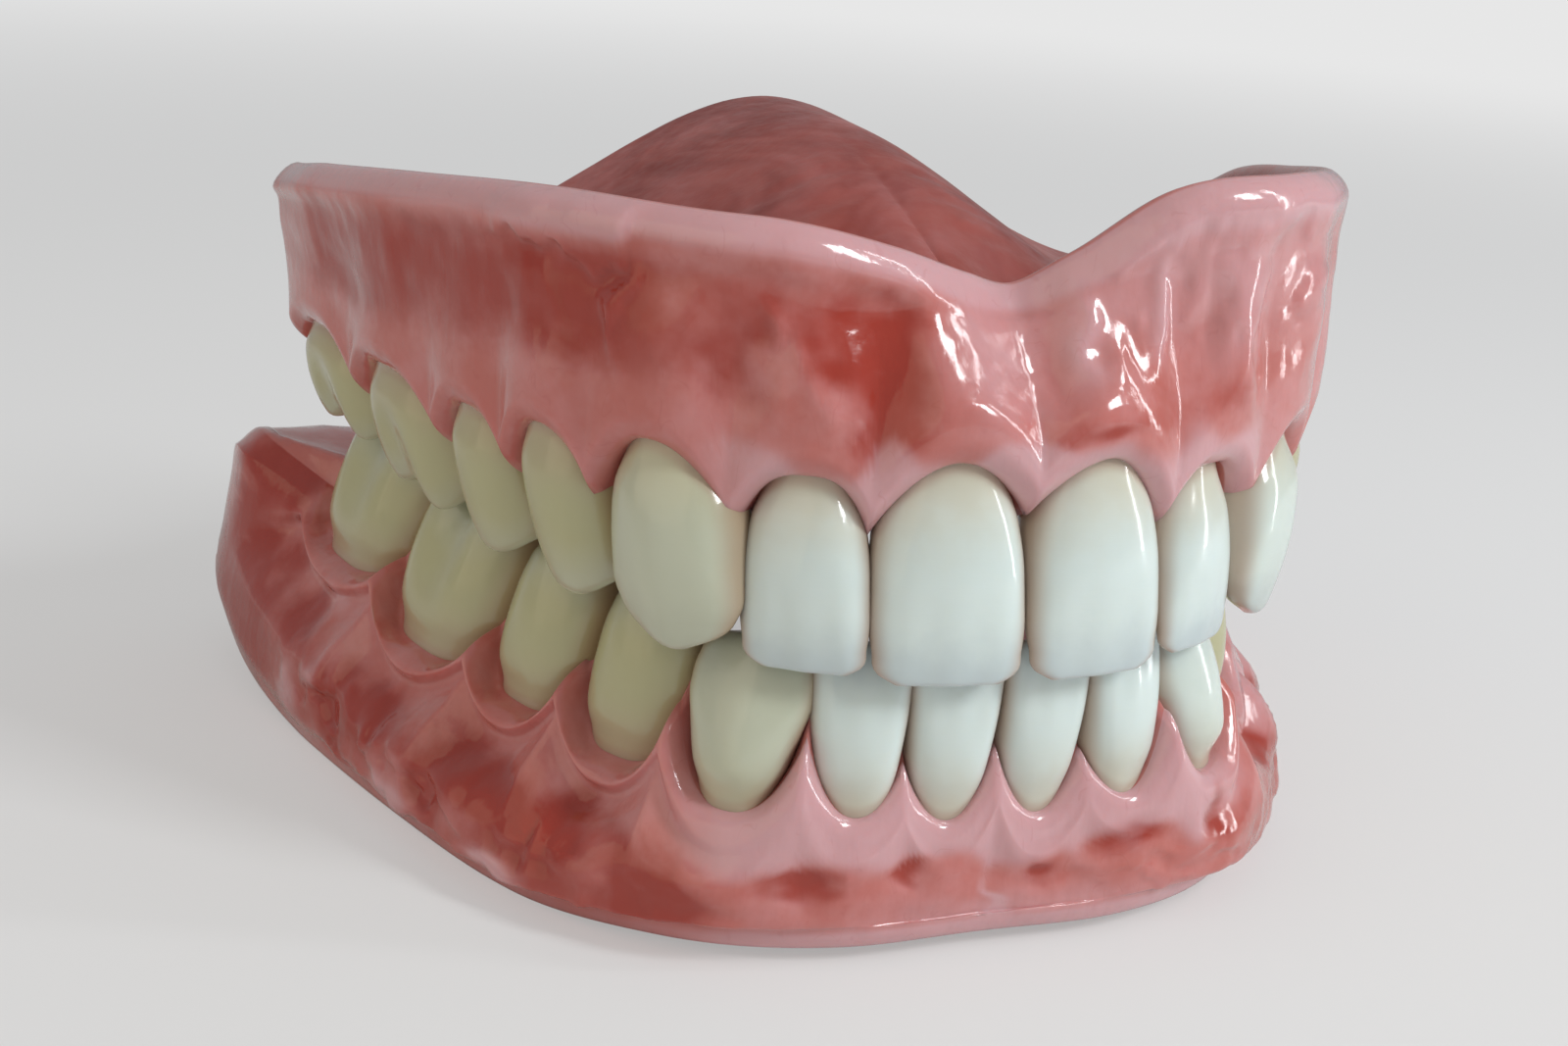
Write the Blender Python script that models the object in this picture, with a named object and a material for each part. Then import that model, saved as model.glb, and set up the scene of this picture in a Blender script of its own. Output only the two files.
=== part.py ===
"""Complete upper and lower denture, standing closed on the border of the lower plate.

Each plate is one moulded solid and carries fourteen teeth. Every tooth is a solid of its own, set in a socket
of its plate. Lengths below are in millimetres. X runs to the wearer's left, Y to the back and Z up. While the
pieces are drawn, the front of the arch is at Y = 0 and the biting edges of the upper front teeth at Z = 0.
"""

import bmesh
import bpy
import numpy as np

MM = 0.001

# The arch line passes through the upper biting edges and outer cusp tips, seen from above
ARCH_HALF_WIDTH = 29.1
ARCH_DEPTH = 37.4
ARCH_SQUARENESS = 0.71
ARCH_REACH = 40.0

# Gaps between pieces
SOCKET_GAP = 0.3
CONTACT_GAP = 0.3
BITE_GAP = 0.35

KINDS = (
    "central_incisor",
    "lateral_incisor",
    "canine",
    "first_premolar",
    "second_premolar",
    "first_molar",
    "second_molar",
)
INCISORS = 2
FRONT_TEETH = 3
MOLARS = 2

# Bite: how the two rows of teeth meet
CUSP_SPACING = 6.0
FOSSA_DEPTH = 1.6
CUSP_NOTCH = 1.1
FOSSA_RIDGE = 0.4
CANINE_POINT = 1.0
LOWER_CANINE_POINT = 0.8
CANINE_TIP = 0.12
OVERJET = 2.2

# Upper teeth, one value for each kind from the midline back
UPPER_WIDTH = (8.5, 6.6, 7.3, 6.8, 6.7, 10.0, 10.6)
UPPER_THICKNESS = (6.2, 5.8, 7.4, 9.0, 9.2, 10.6, 10.2)
UPPER_EDGE = (-0.1, 0.3, 0.6, 1.0, 1.15, 1.6, 2.8)
UPPER_NECK = (11.2, 10.1, 11.0, 10.5, 9.7, 9.6, 9.5)
UPPER_STEP_OUT = (0.0, 0.0, 0.8, 0.2, 0.0, 0.0, 0.0)
UPPER_LEAN_OUT = (-0.17, -0.17, -0.04, 0.14, 0.14, 0.16, 0.14)
UPPER_LEAN_BACK = (0.015, 0.1, 0.2, 0.115, 0.09, 0.17, 0.2)

# Lower teeth
LOWER_WIDTH = (5.6, 5.7, 7.4, 7.5, 7.5, 10.6, 11.2)
LOWER_THICKNESS = (5.0, 5.4, 6.6, 7.4, 7.8, 9.2, 9.0)
LOWER_EDGE = (1.3, 1.3, 1.2, 0.0, 0.0, 0.0, 0.0)
LOWER_NECK = (-8.6, -7.9, -7.9, -7.6, -7.0, -6.8, -5.2)
LOWER_STEP_OUT = (0.0, -0.1, -0.1, 0.0, 0.0, 0.0, 0.0)
LOWER_LEAN_OUT = (0.02, 0.14, 0.26, 0.12, 0.2, 0.35, 0.45)
LOWER_LEAN_BACK = (0.0, 0.0, 0.02, 0.1, 0.12, 0.14, 0.2)

# Crown profiles from the biting edge (0) to the neck (1) and on to the end of the stub
LEVELS = (0.0, 0.05, 0.14, 0.3, 0.5, 0.72, 1.0)
FRONT_RINGS = LEVELS + (2.0,)
CHEEK_RINGS = (-0.5, 0.0) + LEVELS[2:] + (2.0,)
INCISOR_SPREAD = (0.7, 0.88, 0.95, 1.0, 0.98, 0.89, 0.7)
INCISOR_DEPTH = (0.12, 0.2, 0.3, 0.5, 0.72, 0.92, 1.0)
INCISOR_BULGE = (0.0, 0.12, 0.3, 0.55, 0.7, 0.6, 0.0)
CANINE_SPREAD = (0.34, 0.66, 0.9, 1.0, 0.98, 0.9, 0.72)
CANINE_DEPTH = (0.14, 0.26, 0.4, 0.62, 0.82, 0.96, 1.0)
CANINE_BULGE = (0.0, 0.2, 0.45, 0.8, 1.0, 0.9, 0.0)
CHEEK_SPREAD = (0.76, 0.85, 0.93, 1.0, 0.98, 0.92, 0.8)
CHEEK_DEPTH = (0.78, 0.86, 0.94, 1.0, 1.0, 0.97, 0.88)
CHEEK_BULGE = (0.0, 0.25, 0.55, 0.85, 1.0, 0.85, 0.0)
LOWER_INCISOR_SPREAD = (0.8, 0.93, 0.99, 1.0, 0.9, 0.7, 0.5)
LOWER_CANINE_SPREAD = (0.6, 0.82, 0.95, 1.0, 0.86, 0.66, 0.46)
STUB_LENGTH = 2.0
STUB_TAPER = 0.82
CROWN_SQUARENESS = 0.78
FRONT_SIDES = 10
CHEEK_SIDES = 12

# Gum line and the outside of the plates
PAPILLA = 3.7
UPPER_SCALLOP = (2.3, 2.3, 2.3, 2.3, 2.3, 2.3, 2.3)
LOWER_SCALLOP = (1.2, 1.2, 1.4, 2.2, 2.6, 2.6, 2.6)
LIP_WIDTH = 0.75
ROLL_HEIGHT = 1.3
ROLL_OUT = 1.35
ROLL_SWELL = 0.4
ROOT_BULGE = 0.7
ROOT_VALLEY = 0.3
HOLLOW_BULGE = 0.3
PAPILLA_BACK = 1.5
ROLL_BACK = 0.6
ROOT_SHARE = 0.38
HOLLOW = 0.6
HOLLOW_SHARE = 0.72
BEHIND_TEETH_DROP = 2.0
BORDER_ROUND = 1.4
LINGUAL_RISE = 2.4
LINGUAL_SCALLOP = 0.35
FLOOR_SINK = 0.2
STATIONS_PER_TOOTH = 4
END_STATIONS = 5

# Upper plate: arc along the arch, then a height or an offset at that arc
UPPER_ARCS = (0.0, 3.5, 9.0, 17.0, 27.0, 38.0, 49.0, 59.0)
UPPER_BORDER_RIGHT = (19.0, 19.8, 21.3, 22.6, 22.5, 21.3, 19.6, 17.0)
UPPER_BORDER_LEFT = (19.0, 20.8, 24.2, 25.2, 24.4, 22.9, 21.0, 17.6)
UPPER_BORDER_OUT = (-6.2, -5.0, -3.0, 0.3, 2.4, 3.2, 3.4, 2.4)
UPPER_BORDER_THICKNESS = 2.8
UPPER_GROOVE_ABOVE_NECK = 3.3
UPPER_GROOVE_FRONT = -3.6
UPPER_GROOVE_BACK = -6.4
UPPER_END = 59.0
PALATE_FRONT = 14.0
PALATE_BACK = 46.0
PALATE_CREST = 38.0
PALATE_TOP = 23.1
PALATE_FRONT_TOP = 17.6
PALATE_THICKNESS = 2.2
PALATE_CURVE = 1.55
UPPER_END_NARROW = 0.75
WALL_BEND = (0.75, 0.45)
PALATE_STEPS = (0.25, 0.5, 0.75, 1.0)

# Lower plate
LOWER_ARCS = (0.0, 9.0, 18.0, 27.0, 37.0, 48.0, 58.0, 69.0)
LOWER_BORDER = (-15.4, -15.4, -15.7, -16.3, -16.3, -16.3, -15.0, -11.6)
LOWER_BORDER_OUT = (-1.2, -0.1, 1.4, 2.6, 3.0, 3.6, 4.2, 3.8)
LOWER_SWELL = (0.0, 0.4, 2.0, 2.9, 2.6, 2.2, 2.0, 1.6)
LOWER_BORDER_WIDTH = 2.8
LOWER_BORDER_FLAT = 0.5
LOWER_GROOVE_END = 1.5
LOWER_GROOVE_MARGIN = 0.6
LOWER_GROOVE_UNDER_NECK = 3.3
LOWER_GROOVE_FRONT = -2.8
LOWER_GROOVE_BACK = -7.6
LOWER_LINGUAL_OUT = (-12.3, -12.0, -12.0, -12.2, -12.6, -13.2, -12.0, -9.0)
LOWER_LINGUAL_BORDER = (-15.0, -15.0, -15.6, -16.3, -16.3, -16.3, -15.6, -12.2)
LINGUAL_HOLLOW = 0.4
LINGUAL_HOLLOW_SHARES = (0.5, 0.45)
LINGUAL_LIP = 0.75
LOWER_END = 69.0
PAD_START = 56.0
PAD_RISE = 2.6
PAD_OUT = 1.5
END_ROUND = 6.0
END_NARROW = 0.5

# Places in the sections where the border crest lies
UPPER_CREST = 8
LOWER_CRESTS = (6, 11)

GUM_COLOUR = (0.62, 0.17, 0.17, 1.0)
FRONT_COLOUR = (0.80, 0.79, 0.72, 1.0)
CHEEK_COLOUR = (0.70, 0.70, 0.55, 1.0)
GUM_ROUGHNESS = 0.22
TOOTH_ROUGHNESS = 0.18


def smooth(at, stations, values):
    """Curve through the values at the stations, with flat ends, and level between two equal values."""
    stations = np.asarray(stations, float)
    values = np.asarray(values, float)
    at = np.clip(np.asarray(at, float), stations[0], stations[-1])
    slopes = np.gradient(values, stations)
    rises = np.diff(values)
    slopes[1:-1][rises[1:] * rises[:-1] <= 0] = 0.0
    slopes[[0, -1]] = 0.0
    left = np.clip(np.searchsorted(stations, at, side="right") - 1, 0, len(stations) - 2)
    span = stations[left + 1] - stations[left]
    part = (at - stations[left]) / span
    start = (1 + 2 * part) * (1 - part) ** 2 * values[left]
    start_slope = part * (1 - part) ** 2 * span * slopes[left]
    end = part**2 * (3 - 2 * part) * values[left + 1]
    end_slope = part**2 * (part - 1) * span * slopes[left + 1]
    return start + start_slope + end + end_slope


def arch_depth(reach):
    """Depth of the arch line at a distance from the midline: a parabola mixed with a fourth power."""
    share = reach / ARCH_HALF_WIDTH
    return ARCH_DEPTH * ((1 - ARCH_SQUARENESS) * share**2 + ARCH_SQUARENESS * share**4)


LINE_X = np.linspace(0.0, ARCH_REACH, 1601)
LINE_Y = arch_depth(LINE_X)
LINE_ARC = np.concatenate(([0.0], np.cumsum(np.hypot(np.diff(LINE_X), np.diff(LINE_Y)))))
LINE_SLOPE = np.gradient(LINE_Y, LINE_X)


def on_arch(arc, out):
    """Plan position at an arc length from the midline, moved outward at right angles to the arch line."""
    reach = np.interp(arc, LINE_ARC, LINE_X)
    slope = np.interp(arc, LINE_ARC, LINE_SLOPE)
    steep = 1 / np.hypot(1, slope)
    return reach + out * slope * steep, arch_depth(reach) - out * steep


def between(start, end, part):
    """Point at a share of the way from start to end."""
    return start + (end - start) * part


class Row:
    """Row of teeth of one jaw, on one side: where each tooth starts, ends and leans."""

    def __init__(self, jaw, width, thickness, edge, neck, step_out, lean_out, lean_back, scallop):
        self.jaw = jaw
        self.toward_gum = 1 if jaw == "upper" else -1
        self.width = np.array(width)
        self.thickness = np.array(thickness)
        self.ends = np.concatenate(([0.0], np.cumsum(width)))
        self.centre = (self.ends[:-1] + self.ends[1:]) / 2
        self.edge = np.array(edge)
        self.neck = np.array(neck)
        self.step_out = np.array(step_out)
        self.lean_out = np.array(lean_out)
        self.lean_back = np.array(lean_back)
        self.scallop = np.array(scallop)
        middle = (self.lean_back[:-1] + self.lean_back[1:]) / 2
        self.end_lean = np.concatenate(([0.0], middle, self.lean_back[-1:]))

    def crown_length(self, tooth):
        return abs(self.neck[tooth] - self.edge[tooth])

    def neck_ends(self):
        """Arcs of the borders between the teeth, at the height of the necks."""
        length = np.abs(self.neck - self.edge)
        middle = (length[:-1] + length[1:]) / 2
        length = np.concatenate((length[:1], middle, length[-1:]))
        return self.ends + self.end_lean * length

    def neck_centres(self):
        return self.centre + self.lean_back * np.abs(self.neck - self.edge)

    def place(self, arc):
        """Number of the tooth whose neck holds each arc, and -1 to 1 from its front end to its back end."""
        ends = self.neck_ends()
        centres = self.neck_centres()
        tooth = np.clip(np.searchsorted(ends, arc, side="right") - 1, 0, len(centres) - 1)
        offset = arc - centres[tooth]
        front = centres[tooth] - ends[tooth]
        back = ends[tooth + 1] - centres[tooth]
        return tooth, np.clip(offset / np.where(offset < 0, front, back), -1, 1)


UPPER = Row(
    "upper",
    UPPER_WIDTH,
    UPPER_THICKNESS,
    UPPER_EDGE,
    UPPER_NECK,
    UPPER_STEP_OUT,
    UPPER_LEAN_OUT,
    UPPER_LEAN_BACK,
    UPPER_SCALLOP,
)
LOWER = Row(
    "lower",
    LOWER_WIDTH,
    LOWER_THICKNESS,
    LOWER_EDGE,
    LOWER_NECK,
    LOWER_STEP_OUT,
    LOWER_LEAN_OUT,
    LOWER_LEAN_BACK,
    LOWER_SCALLOP,
)


def notches(row, arc):
    """0 at each cusp of a row of teeth and 1 in the dips between them; a molar has two cusps on a side."""
    tooth = np.clip(np.searchsorted(row.ends, arc, side="right") - 1, 0, len(row.centre) - 1)
    share = 2 * (arc - row.centre[tooth]) / row.width[tooth]
    molar = tooth >= len(KINDS) - MOLARS
    one_cusp = 0.5 - 0.5 * np.cos(np.pi * share)
    two_cusps = 0.5 + 0.5 * np.cos(2 * np.pi * share)
    return np.where(molar, two_cusps, one_cusp), np.clip(np.abs(share), 0, 1) ** 4


def bite_height(arc, out):
    """Surface where the cheek teeth meet: a wave across the row, with its low lines at the upper cusps."""
    fossa = 0.5 - 0.5 * np.cos(2 * np.pi * out / CUSP_SPACING)
    notch, ridge = notches(UPPER, arc)
    tip = smooth(arc, UPPER.centre, UPPER.edge)
    return tip + FOSSA_DEPTH * fossa * (1 - FOSSA_RIDGE * ridge) + CUSP_NOTCH * notch * (1 - fossa)


def biting_face(row, tooth, arc, out, share):
    """Height of a tooth's biting edge or biting face at a place on it."""
    if tooth >= FRONT_TEETH:
        meeting = bite_height(arc, out)
        if row.jaw == "upper":
            return meeting + BITE_GAP / 2
        notch, ridge = notches(row, arc)
        crest = 0.5 - 0.5 * np.cos(2 * np.pi * out / CUSP_SPACING)
        return meeting - BITE_GAP / 2 - CUSP_NOTCH * notch * crest
    point = 0.0
    if tooth >= INCISORS:
        point = CANINE_POINT if row.jaw == "upper" else LOWER_CANINE_POINT
    return row.edge[tooth] + row.toward_gum * point * np.abs(share + CANINE_TIP)


def crown_points(row, tooth, turn, level, grow=0.0):
    """Points round a tooth at one level: 0 its biting rim, 1 its neck, 2 the end of the stub, below 0 the face."""
    if tooth < INCISORS:
        spread_at = INCISOR_SPREAD if row.jaw == "upper" else LOWER_INCISOR_SPREAD
        depth_at, bulge_at = INCISOR_DEPTH, INCISOR_BULGE
    elif tooth < FRONT_TEETH:
        spread_at = CANINE_SPREAD if row.jaw == "upper" else LOWER_CANINE_SPREAD
        depth_at, bulge_at = CANINE_DEPTH, CANINE_BULGE
    else:
        spread_at, depth_at, bulge_at = CHEEK_SPREAD, CHEEK_DEPTH, CHEEK_BULGE
    along = np.clip(level, 0, 1)
    stub = max(level - 1, 0)
    shrink = (1 - (1 - STUB_TAPER) * stub) * (1 + min(level, 0))
    rise = row.crown_length(tooth) * along
    spread = smooth(along, LEVELS, spread_at) * shrink
    depth = row.thickness[tooth] * smooth(along, LEVELS, depth_at)
    start_out = row.step_out[tooth] - (OVERJET if row.jaw == "lower" else 0.0)
    face = start_out + row.lean_out[tooth] * rise + smooth(along, LEVELS, bulge_at)

    across = np.sign(np.cos(turn)) * np.abs(np.cos(turn)) ** CROWN_SQUARENESS
    through = np.sign(np.sin(turn)) * np.abs(np.sin(turn)) ** CROWN_SQUARENESS
    centre = row.centre[tooth] + row.lean_back[tooth] * rise
    front_end = row.ends[tooth] + row.end_lean[tooth] * rise + CONTACT_GAP / 2
    back_end = row.ends[tooth + 1] + row.end_lean[tooth + 1] * rise - CONTACT_GAP / 2
    half = np.where(across < 0, centre - front_end, back_end - centre)
    arc = centre + half * spread * across + grow * across
    out = face - depth / 2 + depth / 2 * shrink * through + grow * through
    share = across * spread
    top = biting_face(row, tooth, arc, out, share)
    height = between(top, row.neck[tooth], along) + row.toward_gum * (STUB_LENGTH + grow) * stub
    x, y = on_arch(arc, out)
    return np.stack((x, y, height), axis=-1)


def make_material(name, colour, roughness):
    material = bpy.data.materials.new(name)
    material.use_nodes = True
    shader = material.node_tree.nodes["Principled BSDF"]
    shader.inputs["Base Color"].default_value = colour
    shader.inputs["Roughness"].default_value = roughness
    shader.inputs["Metallic"].default_value = 0.0
    return material


def make_object(name, mesh, material, collection=None):
    """Object from a bmesh in millimetres, with its faces turned outward."""
    bmesh.ops.recalc_face_normals(mesh, faces=mesh.faces)
    data = bpy.data.meshes.new(name)
    mesh.to_mesh(data)
    mesh.free()
    data.materials.append(material)
    data.shade_smooth()
    made = bpy.data.objects.new(name, data)
    (collection or bpy.context.scene.collection).objects.link(made)
    return made


def add_rings(mesh, rings):
    """Bridge closed rings of equal length, and return the rings of vertices."""
    made = [[mesh.verts.new(point) for point in ring] for ring in rings]
    for one, two in zip(made, made[1:]):
        for here in range(len(one)):
            after = (here + 1) % len(one)
            mesh.faces.new((one[here], one[after], two[after], two[here]))
    return made


def tooth_mesh(row, tooth, side, grow=0.0):
    """Lofted tooth: stub, neck, crown, and an edge or a biting face with cusps."""
    front = tooth < FRONT_TEETH
    sides = FRONT_SIDES if front else CHEEK_SIDES
    turn = np.linspace(0, 2 * np.pi, sides, endpoint=False)
    levels = FRONT_RINGS if front else CHEEK_RINGS
    rings = [crown_points(row, tooth, turn, level, grow) for level in levels]
    mesh = bmesh.new()
    made = add_rings(mesh, [ring * (side, 1, 1) for ring in rings])
    mesh.faces.new(made[-1])
    if front:
        mesh.faces.new(made[0])
    else:
        middle = mesh.verts.new(crown_points(row, tooth, turn[:1], -1.0, grow)[0] * (side, 1, 1))
        for here in range(sides):
            mesh.faces.new((made[0][here], made[0][(here + 1) % sides], middle))
    return mesh


def neck_face(row, arc):
    """Out position of the faces of the teeth at their necks, blended from tooth to tooth."""
    base = -OVERJET if row.jaw == "lower" else 0.0
    length = np.abs(row.neck - row.edge)
    return smooth(arc, row.neck_centres(), base + row.step_out + row.lean_out * length)


def gum_line(row, arc):
    """Height of the gum margin: highest on the gum side at each neck, with a papilla between the teeth."""
    tooth, share = row.place(arc)
    other = np.clip(tooth + np.where(share < 0, -1, 1), 0, len(row.neck) - 1)
    papilla = (row.neck[tooth] + row.neck[other]) / 2 - row.toward_gum * PAPILLA
    return between(row.neck[tooth], papilla, np.abs(share) ** row.scallop[tooth]), share


def outer_rows(row, arc, border_out, border, swell, pad_out):
    """Points from the gum margin down the outside of a plate to its border, at each station."""
    past = np.clip((arc - row.neck_ends()[-1]) / END_ROUND, 0, 1)
    line, share = gum_line(row, arc)
    face = neck_face(row, arc)
    back = PAPILLA_BACK * share**2
    centred = np.cos(np.pi / 2 * share) ** 2
    lip = (face + LIP_WIDTH - back + (swell + pad_out) * past, line - row.toward_gum * BEHIND_TEETH_DROP * past)
    roll_swell = between(ROLL_SWELL * swell, swell + pad_out, past)
    roll = (face + ROLL_OUT - ROLL_BACK * back + roll_swell, line + row.toward_gum * ROLL_HEIGHT)
    top = face + LIP_WIDTH
    bulge = ROOT_BULGE * (centred - ROOT_VALLEY)
    root_out = between(top, border_out, ROOT_SHARE) + bulge + swell
    root = (root_out, between(row.toward_gum * ROLL_HEIGHT + line, border, ROOT_SHARE))
    hollow_out = between(top, border_out, HOLLOW_SHARE) + HOLLOW_BULGE * bulge - HOLLOW + swell
    hollow = (hollow_out, between(line, border, HOLLOW_SHARE))
    shoulder = (border_out, border - row.toward_gum * BORDER_ROUND)
    return [lip, roll, root, hollow, shoulder]


def stations(row, end):
    """Arcs of the sections of a plate: a few for each tooth, and more behind the last one, closer toward the end."""
    ends = row.neck_ends()
    centres = row.neck_centres()
    half = STATIONS_PER_TOOTH // 2
    arcs = []
    for tooth in range(len(centres)):
        arcs.extend(np.linspace(ends[tooth], centres[tooth], half, endpoint=False))
        arcs.extend(np.linspace(centres[tooth], ends[tooth + 1], half, endpoint=False))
    turn = np.linspace(0, np.pi / 2, END_STATIONS)
    arcs.extend(between(ends[-1], end, np.sin(turn)))
    return np.array(arcs)


def round_end(rows, arc, end, narrow):
    """Draw the last sections in toward their middles, on a quarter ellipse."""
    part = np.clip((arc - (end - END_ROUND)) / END_ROUND, 0, 1)
    size = between(narrow, 1.0, np.sqrt(1 - part**2))[None, :, None]
    middle = rows.mean(axis=0, keepdims=True)
    return middle + (rows - middle) * size


def inner_gum(row, arc):
    """Lingual gum margin at each station, as an out position and a height."""
    line, share = gum_line(row, arc)
    thickness = smooth(arc, row.neck_centres(), row.thickness)
    flat = smooth(arc, row.neck_centres(), row.neck) - row.toward_gum * LINGUAL_RISE
    return neck_face(row, arc) - thickness - LIP_WIDTH, between(flat, line, LINGUAL_SCALLOP)


def palate_top(depth):
    """Height of the fitting side of the palate on the midline."""
    part = np.clip((depth - PALATE_FRONT) / (PALATE_CREST - PALATE_FRONT), 0, 1)
    return between(PALATE_FRONT_TOP, PALATE_TOP, np.sin(np.pi / 2 * part))


def upper_sections(side):
    """Chains of points from the midline over the fitting side, the border and the outside, back to the midline."""
    arc = stations(UPPER, UPPER_END)
    heights = UPPER_BORDER_RIGHT if side < 0 else UPPER_BORDER_LEFT
    border = smooth(arc, UPPER_ARCS, heights)
    border_out = smooth(arc, UPPER_ARCS, UPPER_BORDER_OUT)
    neck = smooth(arc, UPPER.neck_centres(), UPPER.neck)
    groove = neck + UPPER_GROOVE_ABOVE_NECK
    outer = outer_rows(UPPER, arc, border_out, border, 0 * arc, 0.0)
    lip_out, lip_line = outer[0]
    inner_out, inner_line = inner_gum(UPPER, arc)
    floor = ((lip_out + inner_out) / 2, np.maximum(lip_line, inner_line) + FLOOR_SINK)
    groove_back = neck_face(UPPER, arc) + UPPER_GROOVE_BACK
    groove_front = neck_face(UPPER, arc) + UPPER_GROOVE_FRONT
    wall_out = border_out - UPPER_BORDER_THICKNESS
    wall = [
        (groove_back, groove),
        (groove_front, groove),
        (between(groove_front, wall_out, WALL_BEND[0]), between(groove, border - BORDER_ROUND, WALL_BEND[1])),
        (wall_out, border - BORDER_ROUND),
        (border_out - UPPER_BORDER_THICKNESS / 2, border),
    ]
    middle_y = between(PALATE_FRONT, PALATE_BACK, arc / UPPER_END)

    def palate(part, start_out, under):
        start_x, start_y = on_arch(arc, start_out)
        x = between(start_x, 0.0, part)
        y = between(start_y, middle_y, part)
        back_x, back_y = on_arch(arc, groove_back)
        share = 1 - np.hypot(x, y - middle_y) / np.hypot(back_x, back_y - middle_y)
        share = np.clip(share, 0, 1)
        top = between(groove, palate_top(middle_y), np.sin(np.pi / 2 * share**PALATE_CURVE))
        if under:
            top = between(inner_line, top - PALATE_THICKNESS, 1 - (1 - part) ** 3)
        return np.stack((side * x, y, top), axis=-1)

    def placed(out, height):
        x, y = on_arch(arc, out)
        return np.stack((side * x, y, height + 0 * x), axis=-1)

    rows = [palate(part, groove_back, False) for part in reversed(PALATE_STEPS)]
    rows += [placed(*point) for point in wall]
    rows += [placed(*point) for point in reversed(outer)]
    rows += [placed(*floor), placed(inner_out, inner_line)]
    rows += [palate(part, inner_out, True) for part in PALATE_STEPS]
    rows = np.array(rows)
    rows[4:16] = round_end(rows[4:16], arc, UPPER_END, UPPER_END_NARROW)
    return rows


def lower_sections(side):
    """Closed loops of points: down the outside, under the border, through the groove and up the tongue side."""
    arc = stations(LOWER, LOWER_END)
    pad = np.clip((arc - PAD_START) / (LOWER_END - PAD_START), 0, 1)
    border = smooth(arc, LOWER_ARCS, LOWER_BORDER)
    border_out = smooth(arc, LOWER_ARCS, LOWER_BORDER_OUT)
    tongue_out = smooth(arc, LOWER_ARCS, LOWER_LINGUAL_OUT)
    tongue_border = smooth(arc, LOWER_ARCS, LOWER_LINGUAL_BORDER)
    neck = smooth(arc, LOWER.neck_centres(), LOWER.neck)
    swell = smooth(arc, LOWER_ARCS, LOWER_SWELL)
    outer = outer_rows(LOWER, arc, border_out, border, swell, PAD_OUT)
    lip_out, lip_line = outer[0]
    inner_out, inner_line = inner_gum(LOWER, arc)
    floor = ((lip_out + inner_out) / 2, np.minimum(lip_line, inner_line) - FLOOR_SINK + PAD_RISE * pad)
    groove = between(neck - LOWER_GROOVE_UNDER_NECK, border + LOWER_GROOVE_END, pad**2)
    groove_front = neck_face(LOWER, arc) + LOWER_GROOVE_FRONT
    width = LOWER_BORDER_WIDTH
    groove_back = np.maximum(neck_face(LOWER, arc) + LOWER_GROOVE_BACK, tongue_out + width + LOWER_GROOVE_MARGIN)
    edge = width * (1 - LOWER_BORDER_FLAT) / 2
    tongue_lip = inner_out - LINGUAL_LIP
    across, down = LINGUAL_HOLLOW_SHARES
    tongue_hollow = (between(tongue_lip, tongue_out, across) + LINGUAL_HOLLOW, between(inner_line, tongue_border, down))
    points = outer
    points += [
        (border_out - edge, border),
        (border_out - width + edge, border),
        (border_out - width, border + BORDER_ROUND),
        (groove_front, groove),
        (groove_back, groove),
        (tongue_out + width, tongue_border + BORDER_ROUND),
        (tongue_out + width - edge, tongue_border),
        (tongue_out + edge, tongue_border),
        (tongue_out, tongue_border + BORDER_ROUND),
        tongue_hollow,
        (tongue_lip, inner_line - ROLL_HEIGHT),
        (inner_out, inner_line),
        floor,
    ]
    rows = []
    for out, height in points:
        x, y = on_arch(arc, out)
        rows.append(np.stack((side * x, y, height + 0 * x), axis=-1))
    return round_end(np.array(rows), arc, LOWER_END, END_NARROW)


def zip_chains(mesh, one, two):
    """Fill between two chains of vertices that end at the same vertex, always along the shorter diagonal."""
    here = 0
    there = 1 if one[0] is two[0] else 0
    while one[here] is not two[there]:
        end_one = here == len(one) - 1
        end_two = there == len(two) - 1
        step_one = np.inf if end_one else (one[here + 1].co - two[there].co).length
        step_two = np.inf if end_two else (one[here].co - two[there + 1].co).length
        if step_one <= step_two:
            corners = (one[here], two[there], one[here + 1])
            here += 1
        else:
            corners = (one[here], two[there], two[there + 1])
            there += 1
        if len(set(corners)) == 3:
            mesh.faces.new(corners)


def plate_mesh(right, left, closed, crest):
    """Skin over the sections of both sides, which share the section at the midline, with the two ends filled."""
    mesh = bmesh.new()
    rows, count = right.shape[:2]
    made = {}
    for side, sections in ((-1, right), (1, left)):
        for row in range(rows):
            for step in range(count):
                place = (row, side * step)
                mirror = (row, -side * step)
                on_midline = not closed and row in (0, rows - 1)
                if (step == 0 or on_midline) and mirror in made:
                    made[place] = made[mirror]
                else:
                    made[place] = mesh.verts.new(sections[row, step])
    last = rows if closed else rows - 1
    for step in range(1 - count, count - 1):
        for row in range(last):
            after = (row + 1) % rows
            corners = (made[row, step], made[row, step + 1], made[after, step + 1], made[after, step])
            mesh.faces.new(corners)
    for end in (1 - count, count - 1):
        chain = [made[row, end] for row in range(rows)]
        if closed:
            zip_chains(mesh, chain[crest[0] : crest[1] + 1], (chain[crest[1] :] + chain[: crest[0] + 1])[::-1])
        else:
            zip_chains(mesh, chain[: crest + 1], chain[crest:][::-1])
    return mesh


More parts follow.
